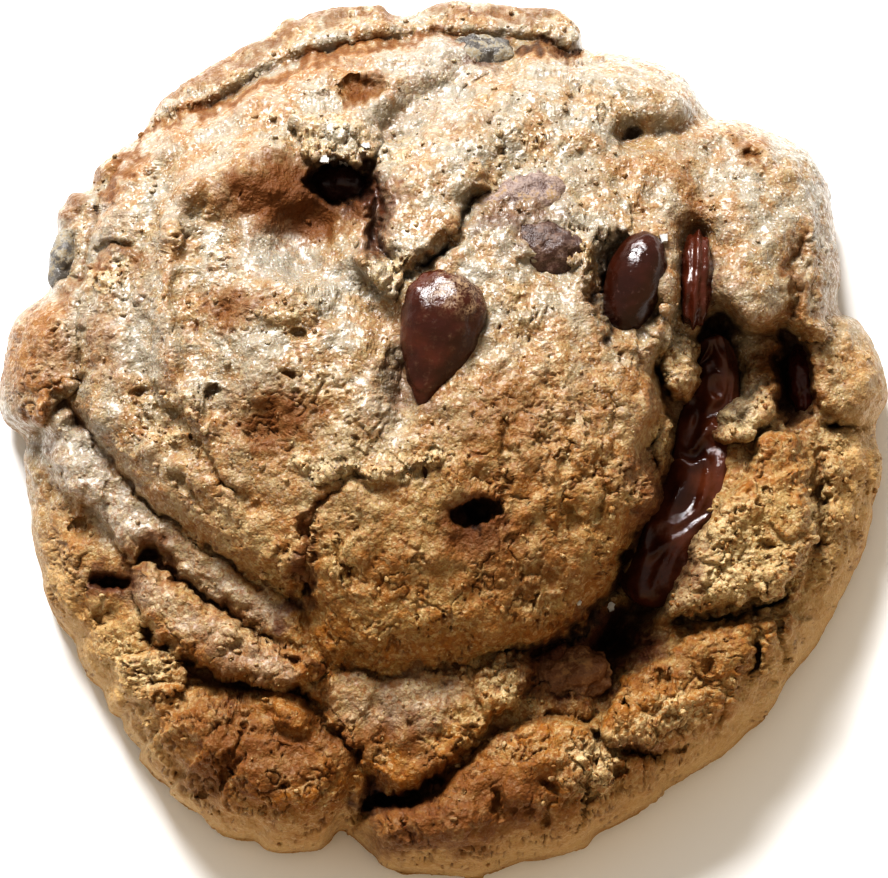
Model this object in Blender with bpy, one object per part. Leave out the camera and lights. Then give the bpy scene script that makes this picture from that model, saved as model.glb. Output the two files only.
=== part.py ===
"""A thick, craggy chocolate chip cookie, 88 mm across, with its chips and its melted chocolate.

The dough is one solid: a crown of dough that has risen over a lower skirt, with folds, plates, cracks and
hollows. Every chip that shows is a solid of its own, set into a socket in the dough.

Places are given in millimetres as a ruler laid over the cookie would read them, X from its left edge and Y
from its back edge, along the line of sight of somebody who looks down on it from a little in front. Heights
are millimetres above the tray. The model is in metres, +Z up, with its origin under the middle of the cookie.
"""

import math
from dataclasses import dataclass

import bpy
import numpy as np

MM = 0.001

# Driving dimensions, in millimetres
PLAN_WIDTH = 88.8
PLAN_LENGTH = 87.8
CROWN_TOP = 26.6
CROWN_MIDDLE = (44.0, 38.0)
CROWN_FALL = 13.0
CROWN_REACH_SIDE = 46.0
CROWN_REACH_BACK = 38.0
CROWN_REACH_FRONT = 36.0
CROWN_SHOULDER = 2.2
CROWN_SHOULDER_RUN = 5.0
CROWN_ROUND = 2.4
SKIRT_LEVEL = 10.5
SKIRT_RISE = 3.0
SKIRT_RISE_RUN = 16.0
EDGE_ROUND_FRONT = 6.5
EDGE_ROUND_BACK = 3.0
EDGE_LEVEL = 4.6
EDGE_BACK_LIFT = 3.4
FOOT_INSET = 1.9
SIDE_BULGE = 1.1
SOCKET_GAP = 0.3

# The line of sight along which places are read
EYE_DISTANCE = 450.0
EYE_TILT = math.radians(15.0)
EYE_BACK = np.array([0.0, -math.sin(EYE_TILT), math.cos(EYE_TILT)])
EYE_UP = np.array([0.0, math.cos(EYE_TILT), math.sin(EYE_TILT)])

# Fineness of the dough's mesh
GRID = 55
SIDE_RINGS = 4
SPLINE_STEPS = 5

DOUGH_TAN = (0.52, 0.30, 0.12, 1.0)
CHOCOLATE_BROWN = (0.045, 0.016, 0.010, 1.0)

# The cookie's outline, clockwise from its back left
OUTLINE = [
    (29.8, 2.1), (37.8, 0.4), (40.7, 1.6), (44.9, 0.2), (55.3, 0.8), (58.3, 4.4), (63.5, 5.6), (69.0, 8.5),
    (71.0, 11.4), (77.0, 13.3), (81.6, 16.2), (83.0, 20.5), (84.0, 26.7), (84.0, 31.2), (87.0, 33.5), (88.6, 39.5),
    (87.6, 42.7), (88.0, 47.0), (87.0, 52.0), (84.2, 59.2), (81.0, 64.6), (77.2, 70.3), (72.8, 75.0), (66.6, 78.8),
    (62.0, 82.1), (54.8, 85.8), (47.6, 87.6), (41.5, 87.1), (37.2, 85.3), (34.4, 83.0), (31.9, 84.8), (26.8, 85.0),
    (21.0, 82.6), (17.0, 78.8), (14.1, 75.2), (11.0, 70.6), (8.6, 66.0), (6.1, 62.3), (4.1, 56.5), (3.4, 53.8),
    (2.6, 46.0), (2.5, 43.4), (0.5, 41.5), (0.1, 38.2), (0.9, 34.2), (3.4, 30.3), (5.1, 27.5), (5.8, 21.5),
    (8.0, 19.3), (10.2, 16.4), (13.5, 13.9), (15.5, 11.0), (19.7, 7.5), (23.7, 4.8),
]

# The edge of the crown, which folds over the skirt in front and meets the outline at the back right
CROWN = [
    (9.9, 20.4), (12.4, 17.2), (15.5, 13.4), (20.8, 10.7), (25.8, 7.9), (30.7, 5.6), (36.3, 4.2), (42.6, 3.6),
    (50.7, 3.9), (57.8, 5.4), (61.0, 3.0), (72.0, 6.0), (86.0, 12.0), (90.0, 25.0), (84.6, 31.6), (81.2, 34.1),
    (78.4, 33.0), (74.5, 33.5), (72.2, 31.4), (70.0, 32.8), (67.6, 33.4), (65.9, 37.2), (66.3, 41.2), (65.0, 46.0),
    (65.6, 50.7), (62.6, 54.7), (59.7, 60.5), (56.4, 64.3), (49.9, 65.5), (42.9, 67.0), (35.3, 66.3), (31.7, 65.0),
    (31.4, 60.0), (27.1, 57.8), (20.7, 53.2), (14.5, 49.2), (9.9, 44.4), (7.6, 41.0), (8.4, 35.3), (8.7, 28.0),
    (9.7, 23.5),
]


@dataclass(frozen=True)
class Mound:
    """A rounded rise, or a hollow where rise is negative: half lengths along and across, turned by degrees."""

    at: tuple
    half: tuple
    rise: float
    turn: float = 0.0
    power: float = 1.5


@dataclass(frozen=True)
class Groove:
    """A crease, or a ridge where depth is negative, along a path of places."""

    along: tuple
    width: float
    depth: float


@dataclass(frozen=True)
class Plate:
    """A patch of crust that stands over what is round it, with a rounded edge."""

    outline: tuple
    rise: float
    edge: float


@dataclass(frozen=True)
class Chip:
    """A chocolate chip: its place, how far its middle stands over the dough, its half sizes, turn, taper and tilt."""

    name: str
    at: tuple
    lift: float
    half: tuple
    turn: float = 0.0
    taper: float = 0.0
    tilt: float = 0.0


SKIRT_PLATES = (
    # The round lobe on the left, and the one on the right
    Plate(((0.0, 42.0), (-1.0, 36.0), (3.0, 29.4), (8.8, 28.6), (9.2, 33.0), (7.9, 38.6), (5.0, 41.0),
           (3.0, 43.6)), 3.4, 2.8),
    Plate(((81.0, 34.0), (85.0, 30.6), (90.0, 34.0), (90.0, 42.4), (82.6, 43.6), (80.8, 39.0)), 2.4, 3.0),
    # The two grey folds that run down the left side
    Plate(((4.0, 41.0), (8.0, 42.6), (20.0, 53.6), (30.6, 60.0), (30.0, 65.0), (24.0, 62.6), (17.6, 57.6),
           (12.6, 56.8), (9.4, 50.6), (5.4, 48.8)), 2.4, 2.6),
    Plate(((13.6, 57.6), (18.0, 58.4), (24.4, 63.6), (31.4, 66.4), (29.0, 68.8), (22.0, 68.4), (16.0, 65.2),
           (13.6, 61.2)), 2.0, 2.6),
    # The tongue under the front of the crown
    Plate(((28.6, 68.4), (33.4, 66.6), (47.0, 66.4), (52.4, 65.8), (53.6, 68.0), (50.2, 71.6), (45.2, 76.0),
           (40.0, 79.2), (37.0, 78.4), (35.4, 75.0), (32.0, 71.4)), 1.8, 2.2),
    # The front left lobe, the front lobe and the front right lobe
    Plate(((14.0, 70.0), (20.0, 70.0), (29.4, 70.6), (34.4, 74.0), (37.2, 78.6), (36.4, 81.6), (33.6, 84.6),
           (30.0, 88.0), (20.0, 86.0), (12.0, 76.0)), 2.4, 3.0),
    Plate(((35.0, 83.4), (38.6, 81.2), (43.4, 80.2), (47.0, 77.0), (55.4, 72.8), (58.6, 73.8), (60.8, 78.0),
           (61.4, 84.0), (48.0, 92.0), (36.0, 90.0)), 2.6, 3.2),
    Plate(((61.0, 69.0), (68.0, 64.8), (75.0, 62.4), (80.6, 63.0), (79.0, 70.0), (70.0, 76.4), (62.0, 78.4),
           (59.4, 73.4)), 2.4, 3.0),
    # The crumbled lumps on the right, beside the melted chocolate
    Plate(((66.8, 59.4), (69.6, 53.0), (72.6, 46.0), (76.8, 43.0), (80.6, 45.6), (81.6, 53.0), (78.0, 59.6),
           (72.0, 61.4), (67.6, 63.6)), 3.2, 2.6),
    Plate(((69.4, 43.4), (73.0, 40.2), (78.4, 38.4), (77.6, 42.6), (72.0, 45.6)), 2.6, 2.0),
    # The pale lump at the front left
    Plate(((12.4, 65.6), (17.6, 65.4), (18.6, 68.4), (14.6, 70.4), (12.0, 69.0)), 1.8, 2.2),
)

SKIRT_GROOVES = (
    # The crest of the thin back rim, and the shadow line between it and the crown
    Groove(((9.4, 18.4), (11.4, 15.6), (14.6, 12.6), (20.2, 9.2), (27.0, 5.8), (36.4, 3.2), (44.0, 2.5),
            (53.4, 2.9), (57.2, 4.2)), 1.2, -1.3),
    Groove(((9.9, 20.4), (12.4, 17.2), (15.5, 13.4), (20.8, 10.7), (28.1, 6.9), (36.3, 4.4), (44.0, 3.7),
            (57.0, 5.4)), 1.2, 2.6),
    # The deep crease under the front of the crown
    Groove(((7.8, 41.0), (10.0, 44.6), (14.0, 49.2), (20.4, 53.6), (26.6, 58.0), (31.0, 60.4), (31.4, 65.2),
            (35.3, 67.0), (43.0, 67.6), (50.0, 66.2), (56.6, 64.8), (60.2, 61.0)), 1.4, 2.6),
    # The channel that the melted chocolate lies in
    Groove(((70.4, 34.0), (71.6, 39.0), (69.4, 44.0), (68.6, 49.0), (66.4, 54.6), (63.2, 60.6), (60.6, 65.4)),
           3.2, 4.6),
    # The dark hollow beside the right lobe
    Groove(((79.4, 34.4), (79.4, 41.6)), 1.8, 5.4),
    # The crevices between the front lobes
    Groove(((37.0, 80.0), (41.0, 79.6), (45.0, 77.4), (50.0, 74.0), (55.0, 72.0), (60.0, 69.2)), 1.7, 4.0),
    Groove(((34.3, 84.0), (36.6, 81.0)), 1.4, 3.4),
    Groove(((67.6, 62.4), (71.0, 62.2), (75.0, 60.8), (78.4, 59.4)), 1.4, 3.4),
    Groove(((59.6, 74.0), (61.0, 77.0), (62.0, 79.6)), 1.3, 2.0),
    Groove(((75.6, 63.0), (75.4, 67.4)), 1.2, 2.2),
    Groove(((17.8, 57.6), (20.3, 59.6), (23.5, 62.1), (27.3, 63.1), (30.5, 65.6)), 1.3, 2.2),
    Groove(((14.0, 64.4), (18.4, 66.6), (22.0, 68.6), (28.6, 69.6)), 1.4, 2.2),
    Groove(((82.6, 43.6), (85.0, 43.4), (88.0, 42.6)), 1.2, 1.4),
    Groove(((81.0, 44.6), (81.6, 51.0), (80.4, 56.0), (78.6, 59.6)), 1.2, 1.4),
    # The two dark pockets on the left of the front
    Groove(((9.8, 57.8), (12.6, 58.4)), 1.6, 3.2),
    Groove(((14.6, 62.8), (15.8, 64.2)), 1.2, 2.0),
)

CROWN_FORMS = (
    # The bulges of the crown, and the hollow beside the one at the back left
    Mound((47.0, 14.0), (12.0, 5.0), 1.6, 32.0),
    Mound((24.4, 17.4), (7.4, 4.2), 2.6, 22.0),
    Mound((29.4, 24.0), (7.0, 3.8), -2.8, 18.0),
    Mound((26.0, 35.0), (8.0, 9.0), 1.4, 0.0),
    Mound((77.0, 20.0), (7.4, 8.0), 1.4, 0.0),
    Mound((75.6, 28.4), (4.8, 5.4), 1.6, 0.0),
    Mound((64.4, 8.6), (6.6, 4.0), 1.8, -14.0),
    Mound((52.0, 46.0), (11.0, 14.0), 0.8, 20.0),
    # The fold that runs down the left shoulder, and the lower band outside it
    Groove(((18.8, 18.4), (17.2, 22.6), (16.4, 27.5), (16.5, 32.3), (17.3, 37.6), (19.6, 43.0)), 1.9, -1.4),
    Groove(((16.6, 17.6), (14.6, 23.4), (13.6, 28.6), (13.8, 33.6), (15.0, 39.0), (17.6, 44.6)), 2.0, 1.4),
    # The valleys between the lobes at the back right
    Groove(((58.4, 5.0), (60.6, 8.0), (63.0, 11.4), (62.6, 14.6)), 1.6, 1.4),
    Groove(((71.2, 11.6), (68.6, 12.8), (65.0, 13.6), (62.4, 13.6)), 1.6, 1.8),
    Groove(((71.0, 16.0), (70.0, 20.0), (69.8, 24.0)), 1.8, 1.4),
    # The hollow behind the crown, the lobe beside the open mouth and the valleys across the crown
    Plate(((37.8, 20.6), (38.2, 18.2), (41.0, 16.2), (44.6, 15.2), (48.0, 16.4), (49.0, 18.6), (47.4, 21.4),
           (45.4, 24.2), (42.6, 26.2), (39.8, 27.2), (38.4, 24.6)), 1.4, 2.2),
    Groove(((50.6, 5.2), (47.4, 6.6), (45.0, 8.4), (41.6, 10.6), (39.0, 13.0)), 2.0, 2.4),
    Groove(((31.0, 27.0), (36.6, 29.4), (39.6, 35.0), (40.0, 42.0)), 2.2, 1.6),
    Groove(((36.8, 16.0), (38.0, 20.0), (37.6, 23.6), (40.0, 27.6)), 1.4, 2.4),
    Groove(((40.0, 27.6), (43.6, 25.8), (46.4, 22.2), (48.0, 19.8)), 1.3, 2.6),
    # The torn edge across the front of the crown, and the hole beside it
    Groove(((29.4, 46.8), (33.0, 45.0), (35.4, 48.2), (37.0, 50.0)), 1.3, 1.2),
    Groove(((30.3, 52.6), (30.9, 55.4), (30.4, 58.6)), 1.2, 1.8),
    Groove(((20.6, 45.6), (22.2, 47.8), (25.4, 50.7)), 1.2, 1.0),
    Mound((47.8, 50.9), (2.8, 2.2), -3.8, -10.0, 1.0),
    # The open mouth over the chip at the back left
    Mound((34.0, 18.5), (4.4, 2.8), -5.4, -10.0, 1.0),
    # The cleft between the crown and its right lobe
    Groove(((70.0, 23.8), (69.6, 27.0), (69.2, 31.0), (70.0, 34.4)), 1.8, 3.4),
    # The step in the left edge
    Groove(((7.4, 28.2), (9.2, 25.8), (10.6, 24.8), (13.4, 25.3)), 1.2, 1.4),
    # The hollows that the two large chips sit in
    Mound((61.8, 28.8), (3.8, 6.4), -3.4, 17.0, 1.0),
    Mound((41.4, 38.0), (3.0, 3.8), -1.4, 0.0),
)

CHIPS = (
    Chip("chip_middle", (44.0, 33.8), -0.2, (4.0, 6.6, 2.9), -10.0, 0.34, 6.0),
    Chip("chip_right", (63.4, 28.4), 0.8, (2.8, 5.3, 2.9), -17.0, 0.10, 8.0),
    Chip("chip_upper", (52.0, 19.8), -0.7, (4.3, 2.5, 1.9), 20.0),
    Chip("chip_lower", (54.9, 24.7), -0.7, (3.8, 2.4, 1.8), -8.0),
    Chip("chip_back", (47.2, 5.9), -0.6, (4.0, 2.6, 2.2), 10.0),
    Chip("chip_back_left", (34.6, 18.6), 0.0, (3.8, 2.0, 1.9), -12.0),
    Chip("chip_left_edge", (6.3, 26.0), -0.3, (1.5, 3.2, 2.4), -6.0),
    Chip("chip_right_hollow", (80.2, 38.0), 0.6, (1.5, 4.0, 2.4), 0.0),
    Chip("chip_strip", (69.6, 28.0), 0.6, (1.7, 5.0, 2.4), -4.0),
    Chip("chip_front", (56.8, 67.6), -0.6, (3.9, 2.5, 1.9), 6.0),
)

MELT_PATH = ((70.8, 33.6), (71.6, 36.4), (71.5, 39.8), (70.6, 43.4), (70.6, 46.8), (69.2, 50.8), (66.4, 55.4),
             (63.8, 60.4))
MELT_HALF_WIDTHS = (1.5, 2.1, 2.6, 3.0, 3.9, 3.9, 3.6, 2.4)
MELT_LEVELS = (12.6, 11.7, 11.0, 11.0, 11.0, 10.8, 10.5, 10.0)
MELT_THICKNESS = 1.6
MELT_TIP_REACH = 0.8
MELT_STEPS = 4
MELT_SIDES = 10
CHIP_ROWS = 9
CHIP_COLUMNS = 14


def clear_scene():
    """Remove whatever the file held."""
    for obj in list(bpy.data.objects):
        bpy.data.objects.remove(obj, do_unlink=True)


def smooth_path(points, closed, steps=SPLINE_STEPS):
    """Points on a Catmull-Rom curve through the given ones."""
    knots = np.array(points, float)
    count = len(knots)
    if closed:
        before, after, ahead = np.roll(knots, 1, 0), np.roll(knots, -1, 0), np.roll(knots, -2, 0)
        legs = count
    else:
        padded = np.vstack([2 * knots[0] - knots[1], knots, 2 * knots[-1] - knots[-2]])
        before, knots, after, ahead = padded[:-3], padded[1:-2], padded[2:-1], padded[3:]
        legs = count - 1
    curve = []
    for leg in range(legs):
        for t in np.arange(steps) / steps:
            a, b, c, d = before[leg], knots[leg], after[leg], ahead[leg]
            curve.append(0.5 * (2 * b + (c - a) * t + (2 * a - 5 * b + 4 * c - d) * t**2
                                + (3 * b - a - 3 * c + d) * t**3))
    if not closed:
        curve.append(np.array(points[-1], float))
    return np.array(curve)


def distance_to_path(places, path, closed):
    """The distance of each place from a line through the path's points."""
    ends = np.roll(path, -1, 0) if closed else path[1:]
    starts = path if closed else path[:-1]
    nearest = np.full(len(places), np.inf)
    for start, end in zip(starts, ends):
        leg = end - start
        share = np.clip(((places - start) @ leg) / max(leg @ leg, 1e-9), 0.0, 1.0)
        offset = places - start - share[:, None] * leg
        nearest = np.minimum(nearest, np.hypot(offset[:, 0], offset[:, 1]))
    return nearest


def depth_inside(places, outline):
    """How far each place lies inside a closed outline; negative outside it."""
    path = smooth_path(outline, True)
    within = np.zeros(len(places), bool)
    for (x0, y0), (x1, y1) in zip(path, np.roll(path, -1, 0)):
        crosses = (y0 > places[:, 1]) != (y1 > places[:, 1])
        reach = x0 + (places[:, 1] - y0) * (x1 - x0) / (y1 - y0 if y1 != y0 else 1.0)
        within ^= crosses & (places[:, 0] < reach)
    distance = distance_to_path(places, path, True)
    return np.where(within, distance, -distance)


def rounded_step(depth, width):
    """0 outside an edge, rising on a quarter round to 1 where the depth inside reaches the width."""
    share = np.clip(depth / width, 0.0, 1.0)
    return np.sqrt(1.0 - (1.0 - share) ** 2)


def soft_step(depth, width):
    """0 outside an edge, rising steadily and levelling off at 1 where the depth inside reaches the width."""
    share = np.clip(depth / width, 0.0, 1.0)
    return share * (2.0 - share)


def form_height(form, places):
    """What one mound, groove or plate adds to the height at each place."""
    if isinstance(form, Plate):
        return form.rise * soft_step(depth_inside(places, form.outline), form.edge)
    if isinstance(form, Groove):
        distance = distance_to_path(places, smooth_path(form.along, False), False)
        return -form.depth * np.exp(-((distance / form.width) ** 2))
    turn = math.radians(form.turn)
    x, y = (places - np.array(form.at)).T
    along = (x * math.cos(turn) - y * math.sin(turn)) / form.half[0]
    across = (x * math.sin(turn) + y * math.cos(turn)) / form.half[1]
    return form.rise * np.clip(1.0 - along**2 - across**2, 0.0, 1.0) ** form.power


def edge_level(angle):
    """The height of the cookie's widest line, which is higher at the back."""
    return EDGE_LEVEL + EDGE_BACK_LIFT * np.sin(angle)


def edge_round(angle):
    """How far in from the outline the edge is rounded, which is less at the back."""
    backward = np.clip(0.5 + np.sin(angle), 0.0, 1.0)
    return EDGE_ROUND_FRONT + (EDGE_ROUND_BACK - EDGE_ROUND_FRONT) * backward


def crown_height(places, inside):
    """The height of the crown: a dome that falls away from its highest place, with a lower shoulder at its edge."""
    x, y = (places - np.array(CROWN_MIDDLE)).T
    reach = np.where(y < 0.0, CROWN_REACH_BACK, CROWN_REACH_FRONT)
    dome = CROWN_TOP - CROWN_FALL * ((x / CROWN_REACH_SIDE) ** 2 + (y / reach) ** 2)
    return dome - CROWN_SHOULDER * (1.0 - np.clip(inside / CROWN_SHOULDER_RUN, 0.0, 1.0)) ** 2


def dough_height(places, from_edge, angle):
    """The height of the dough's top at each place, from how far it is inside the outline."""
    skirt = SKIRT_LEVEL + SKIRT_RISE * np.clip(from_edge / SKIRT_RISE_RUN, 0.0, 1.0)
    for form in SKIRT_PLATES + SKIRT_GROOVES:
        skirt = skirt + form_height(form, places)
    inside = depth_inside(places, CROWN)
    crown = crown_height(places, inside)
    for form in CROWN_FORMS:
        crown = crown + form_height(form, places)
    top = skirt + np.maximum(crown - skirt, 0.0) * rounded_step(inside, CROWN_ROUND)
    level = edge_level(angle)
    return level + np.maximum(top - level, 0.0) * rounded_step(from_edge, edge_round(angle))


def surface_at(places):
    """The height of the dough's top at each place."""
    right = places[:, 0] - PLAN_WIDTH / 2
    up = PLAN_LENGTH / 2 - places[:, 1]
    angle = np.arctan2(up, right)
    return dough_height(places, outline_radius(angle) - np.hypot(right, up), angle)


def seen_at(places, heights):
    """Points in space, in millimetres, at these heights on the lines of sight through these places."""
    right = places[:, 0] - PLAN_WIDTH / 2
    up = PLAN_LENGTH / 2 - places[:, 1]
    eye = EYE_DISTANCE * EYE_BACK
    on_plane = right[:, None] * np.array([1.0, 0.0, 0.0]) + up[:, None] * EYE_UP
    share = (eye[2] - heights) / (eye[2] - on_plane[:, 2])
    return eye + (on_plane - eye) * share[:, None]


def outline_radius(angle):
    """The outline's distance from the middle of the plan, at each angle."""
    path = smooth_path(OUTLINE, True)
    x = path[:, 0] - PLAN_WIDTH / 2
    y = PLAN_LENGTH / 2 - path[:, 1]
    angles = np.arctan2(y, x)
    order = np.argsort(angles)
    return np.interp(angle, angles[order], np.hypot(x, y)[order], period=2 * math.pi)


def disc_grid(count):
    """Radius shares and angles of a square grid of points wrapped onto a disc, row by row."""
    steps = np.linspace(-1.0, 1.0, count + 1)
    a, b = (side.ravel() for side in np.meshgrid(steps, steps, indexing="ij"))
    wide = np.abs(a) > np.abs(b)
    share = np.where(wide, np.abs(a), np.abs(b))
    safe_a, safe_b = np.where(a == 0, 1.0, a), np.where(b == 0, 1.0, b)
    angle = np.where(wide, math.pi / 4 * b / safe_a, math.pi / 2 - math.pi / 4 * a / safe_b)
    angle = np.where(wide, np.where(a < 0, angle + math.pi, angle), np.where(b < 0, angle + math.pi, angle))
    angle = np.where(share == 0, 0.0, angle)
    return share, np.arctan2(np.sin(angle), np.cos(angle))


def border_of(count):
    """Indices of the grid's border points, once round."""
    side = count + 1
    first = [i * side for i in range(count)]
    second = [count * side + j for j in range(count)]
    third = [i * side + count for i in range(count, 0, -1)]
    fourth = list(range(count, 0, -1))
    return first + second + third + fourth


def dough_mesh():
    """The dough as points in millimetres and faces: the relief on top, the side wall and the flat foot."""
    share, angle = disc_grid(GRID)
    radius = outline_radius(angle)
    middle = np.array([PLAN_WIDTH / 2, PLAN_LENGTH / 2])
    places = middle + (share * radius)[:, None] * np.column_stack([np.cos(angle), -np.sin(angle)])
    top = seen_at(places, dough_height(places, (1.0 - share) * radius, angle))
    side = GRID + 1
    faces = [(i * side + j, (i + 1) * side + j, (i + 1) * side + j + 1, i * side + j + 1)
             for i in range(GRID) for j in range(GRID)]
    border = border_of(GRID)
    rim = top[border]
    centre = rim.mean(axis=0)
    outward = rim[:, :2] - centre[:2]
    outward /= np.linalg.norm(outward, axis=1)[:, None]
    rings, previous = [top], border
    for ring in range(1, SIDE_RINGS + 1):
        drop = ring / SIDE_RINGS
        reach = SIDE_BULGE * math.sin(math.pi * drop) * rim[:, 2] / SKIRT_LEVEL - FOOT_INSET * drop**3
        wall = np.column_stack([rim[:, :2] + outward * reach[:, None], rim[:, 2] * (1.0 - drop)])
        start = sum(len(part) for part in rings)
        rings.append(wall)
        current = list(range(start, start + len(border)))
        for k in range(len(border)):
            after = (k + 1) % len(border)
            faces.append((previous[k], current[k], current[after], previous[after]))
        previous = current
    faces.append(tuple(reversed(previous)))
    return np.vstack(rings), faces


def material(name, colour, roughness, metallic=0.0):
    """A plain Principled material."""
    made = bpy.data.materials.new(name)
    made.use_nodes = True
    shader = made.node_tree.nodes["Principled BSDF"]
    shader.inputs["Base Color"].default_value = colour
    shader.inputs["Roughness"].default_value = roughness
    shader.inputs["Metallic"].default_value = metallic
    made.diffuse_color = colour
    return made


def add_object(name, points, faces, finish, shift):
    """An object from points in millimetres; its origin is at the middle of its points."""
    moved = (np.asarray(points) - shift) * MM
    origin = moved.mean(axis=0)
    mesh = bpy.data.meshes.new(name)
    mesh.from_pydata([tuple(p) for p in moved - origin], [], faces)
    mesh.validate()
    mesh.materials.append(finish)
    mesh.shade_smooth()
    obj = bpy.data.objects.new(name, mesh)
    obj.location = origin
    bpy.context.scene.collection.objects.link(obj)
    return obj


def closed_rings(rings, start_tip, end_tip):
    """Points and faces of a closed body through rings of equal count, with a tip at each end."""
    count = len(rings[0])
    points = np.vstack([start_tip[None]] + rings + [end_tip[None]])
    faces = [(0, 1 + (k + 1) % count, 1 + k) for k in range(count)]
    for ring in range(len(rings) - 1):
        low, high = 1 + ring * count, 1 + (ring + 1) * count
        for k in range(count):
            after = (k + 1) % count
            faces.append((low + k, low + after, high + after, high + k))
    last = 1 + (len(rings) - 1) * count
    tip = len(points) - 1
    faces += [(last + k, last + (k + 1) % count, tip) for k in range(count)]
    return points, faces


def chip_body(chip, grow=0.0):
    """A chip as points in millimetres and faces, grown all round by grow."""
    half = np.array(chip.half) + grow
    rings = []
    for row in range(1, CHIP_ROWS):
        latitude = math.pi * row / CHIP_ROWS
        level = math.cos(latitude)
        turn = np.linspace(0.0, 2 * math.pi, CHIP_COLUMNS, endpoint=False)
        width = math.sin(latitude) * (1.0 + chip.taper * level)
        rings.append(np.column_stack([width * np.cos(turn), np.full(CHIP_COLUMNS, level), width * np.sin(turn)]) * half)
    points, faces = closed_rings(rings, np.array([0.0, half[1], 0.0]), np.array([0.0, -half[1], 0.0]))
    tilt, turn = math.radians(chip.tilt), math.radians(chip.turn)
    lean = np.array([[1, 0, 0], [0, math.cos(tilt), -math.sin(tilt)], [0, math.sin(tilt), math.cos(tilt)]])
    spin = np.array([[math.cos(turn), -math.sin(turn), 0], [math.sin(turn), math.cos(turn), 0], [0, 0, 1]])
    at = np.array([chip.at])
    place = seen_at(at, surface_at(at) + chip.lift)[0]
    return points @ (spin @ lean).T + place, faces


def melt_body(grow=0.0):
    """The run of melted chocolate, a flattened tube along its path, grown all round by grow."""
    path = smooth_path(MELT_PATH, False, MELT_STEPS)
    knots = np.linspace(0.0, 1.0, len(MELT_PATH))
    shares = np.linspace(0.0, 1.0, len(path))
    widths = np.interp(shares, knots, MELT_HALF_WIDTHS) + grow
    levels = np.interp(shares, knots, MELT_LEVELS)
    spine = seen_at(path, levels)
    ahead = np.gradient(spine, axis=0)
    ahead[:, 2] = 0.0
    ahead /= np.linalg.norm(ahead, axis=1)[:, None]
    across = np.column_stack([-ahead[:, 1], ahead[:, 0], np.zeros(len(ahead))])
    turn = np.linspace(0.0, 2 * math.pi, MELT_SIDES, endpoint=False)
    rings = []
    for point, side, width in zip(spine, across, widths):
        lift = np.array([0.0, 0.0, MELT_THICKNESS + grow])
        rings.append(point + np.cos(turn)[:, None] * side * width + np.sin(turn)[:, None] * lift)
    start = spine[0] - ahead[0] * widths[0] * MELT_TIP_REACH
    end = spine[-1] + ahead[-1] * widths[-1] * MELT_TIP_REACH
    return closed_rings(rings, start, end)


def main():
    """Build the cookie."""
    clear_scene()
    dough_finish = material("baked_dough", DOUGH_TAN, 0.85)
    chocolate = material("dark_chocolate", CHOCOLATE_BROWN, 0.35)
    points, faces = dough_mesh()
    low, high = points.min(axis=0), points.max(axis=0)
    shift = np.array([(low[0] + high[0]) / 2, (low[1] + high[1]) / 2, 0.0])
    dough = add_object("dough", points, faces, dough_finish, shift)

    sockets = bpy.data.collections.new("sockets")
    bpy.context.scene.collection.children.link(sockets)
    sockets.hide_render = True
    bodies = [(chip.name, chip_body(chip), chip_body(chip, SOCKET_GAP)) for chip in CHIPS]
    bodies.append(("melted_chocolate", melt_body(), melt_body(SOCKET_GAP)))
    for name, body, grown in bodies:
        add_object(name, *body, chocolate, shift)
        cutter = add_object("socket_" + name, *grown, dough_finish, shift)
        cutter.hide_render = True
        cutter.display_type = "WIRE"
        bpy.context.scene.collection.objects.unlink(cutter)
        sockets.objects.link(cutter)
    cut = dough.modifiers.new("sockets", "BOOLEAN")
    cut.operation = "DIFFERENCE"
    cut.operand_type = "COLLECTION"
    cut.collection = sockets
    cut.solver = "EXACT"


main()
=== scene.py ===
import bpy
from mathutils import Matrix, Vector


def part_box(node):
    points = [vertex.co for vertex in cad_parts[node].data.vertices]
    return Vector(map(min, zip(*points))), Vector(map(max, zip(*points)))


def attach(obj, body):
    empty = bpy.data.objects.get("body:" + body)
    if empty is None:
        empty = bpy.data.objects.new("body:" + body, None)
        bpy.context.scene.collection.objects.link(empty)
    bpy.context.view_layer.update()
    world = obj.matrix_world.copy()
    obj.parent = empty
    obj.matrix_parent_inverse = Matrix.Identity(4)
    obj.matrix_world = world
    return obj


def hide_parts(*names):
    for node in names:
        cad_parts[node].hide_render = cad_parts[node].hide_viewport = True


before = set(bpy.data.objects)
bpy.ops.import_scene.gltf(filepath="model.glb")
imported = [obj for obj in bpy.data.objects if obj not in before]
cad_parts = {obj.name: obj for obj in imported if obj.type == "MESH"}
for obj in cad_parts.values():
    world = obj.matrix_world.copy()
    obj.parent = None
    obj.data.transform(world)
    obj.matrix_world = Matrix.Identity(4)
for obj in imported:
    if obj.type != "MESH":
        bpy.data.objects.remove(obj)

"""A thick chocolate chip cookie: craggy baked dough, shiny chips, melted chocolate, loose crumbs and sugar.

Places are millimetres as a ruler laid over the cookie would read them, X from its left edge and Y from its
back edge, along the line of sight of the camera. Heights are millimetres above the table.
"""

import logging
import math
from dataclasses import dataclass, field
from enum import Enum

import bpy
import numpy as np
from mathutils import Matrix, Vector

logging.basicConfig(level=logging.INFO, format="%(message)s")
log = logging.getLogger("cookie")

MM = 0.001

PLAN_WIDTH = 88.8
PLAN_LENGTH = 87.8
EYE_DISTANCE = 450.0
EYE_TILT = math.radians(15.0)
EYE_BACK = np.array([0.0, -math.sin(EYE_TILT), math.cos(EYE_TILT)])
EYE_UP = np.array([0.0, math.cos(EYE_TILT), math.sin(EYE_TILT)])
# How far the middle of the plan is from the origin, which is the middle of the solid's box
OFFSET = np.array([-0.066, -0.148, 0.0])

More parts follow.
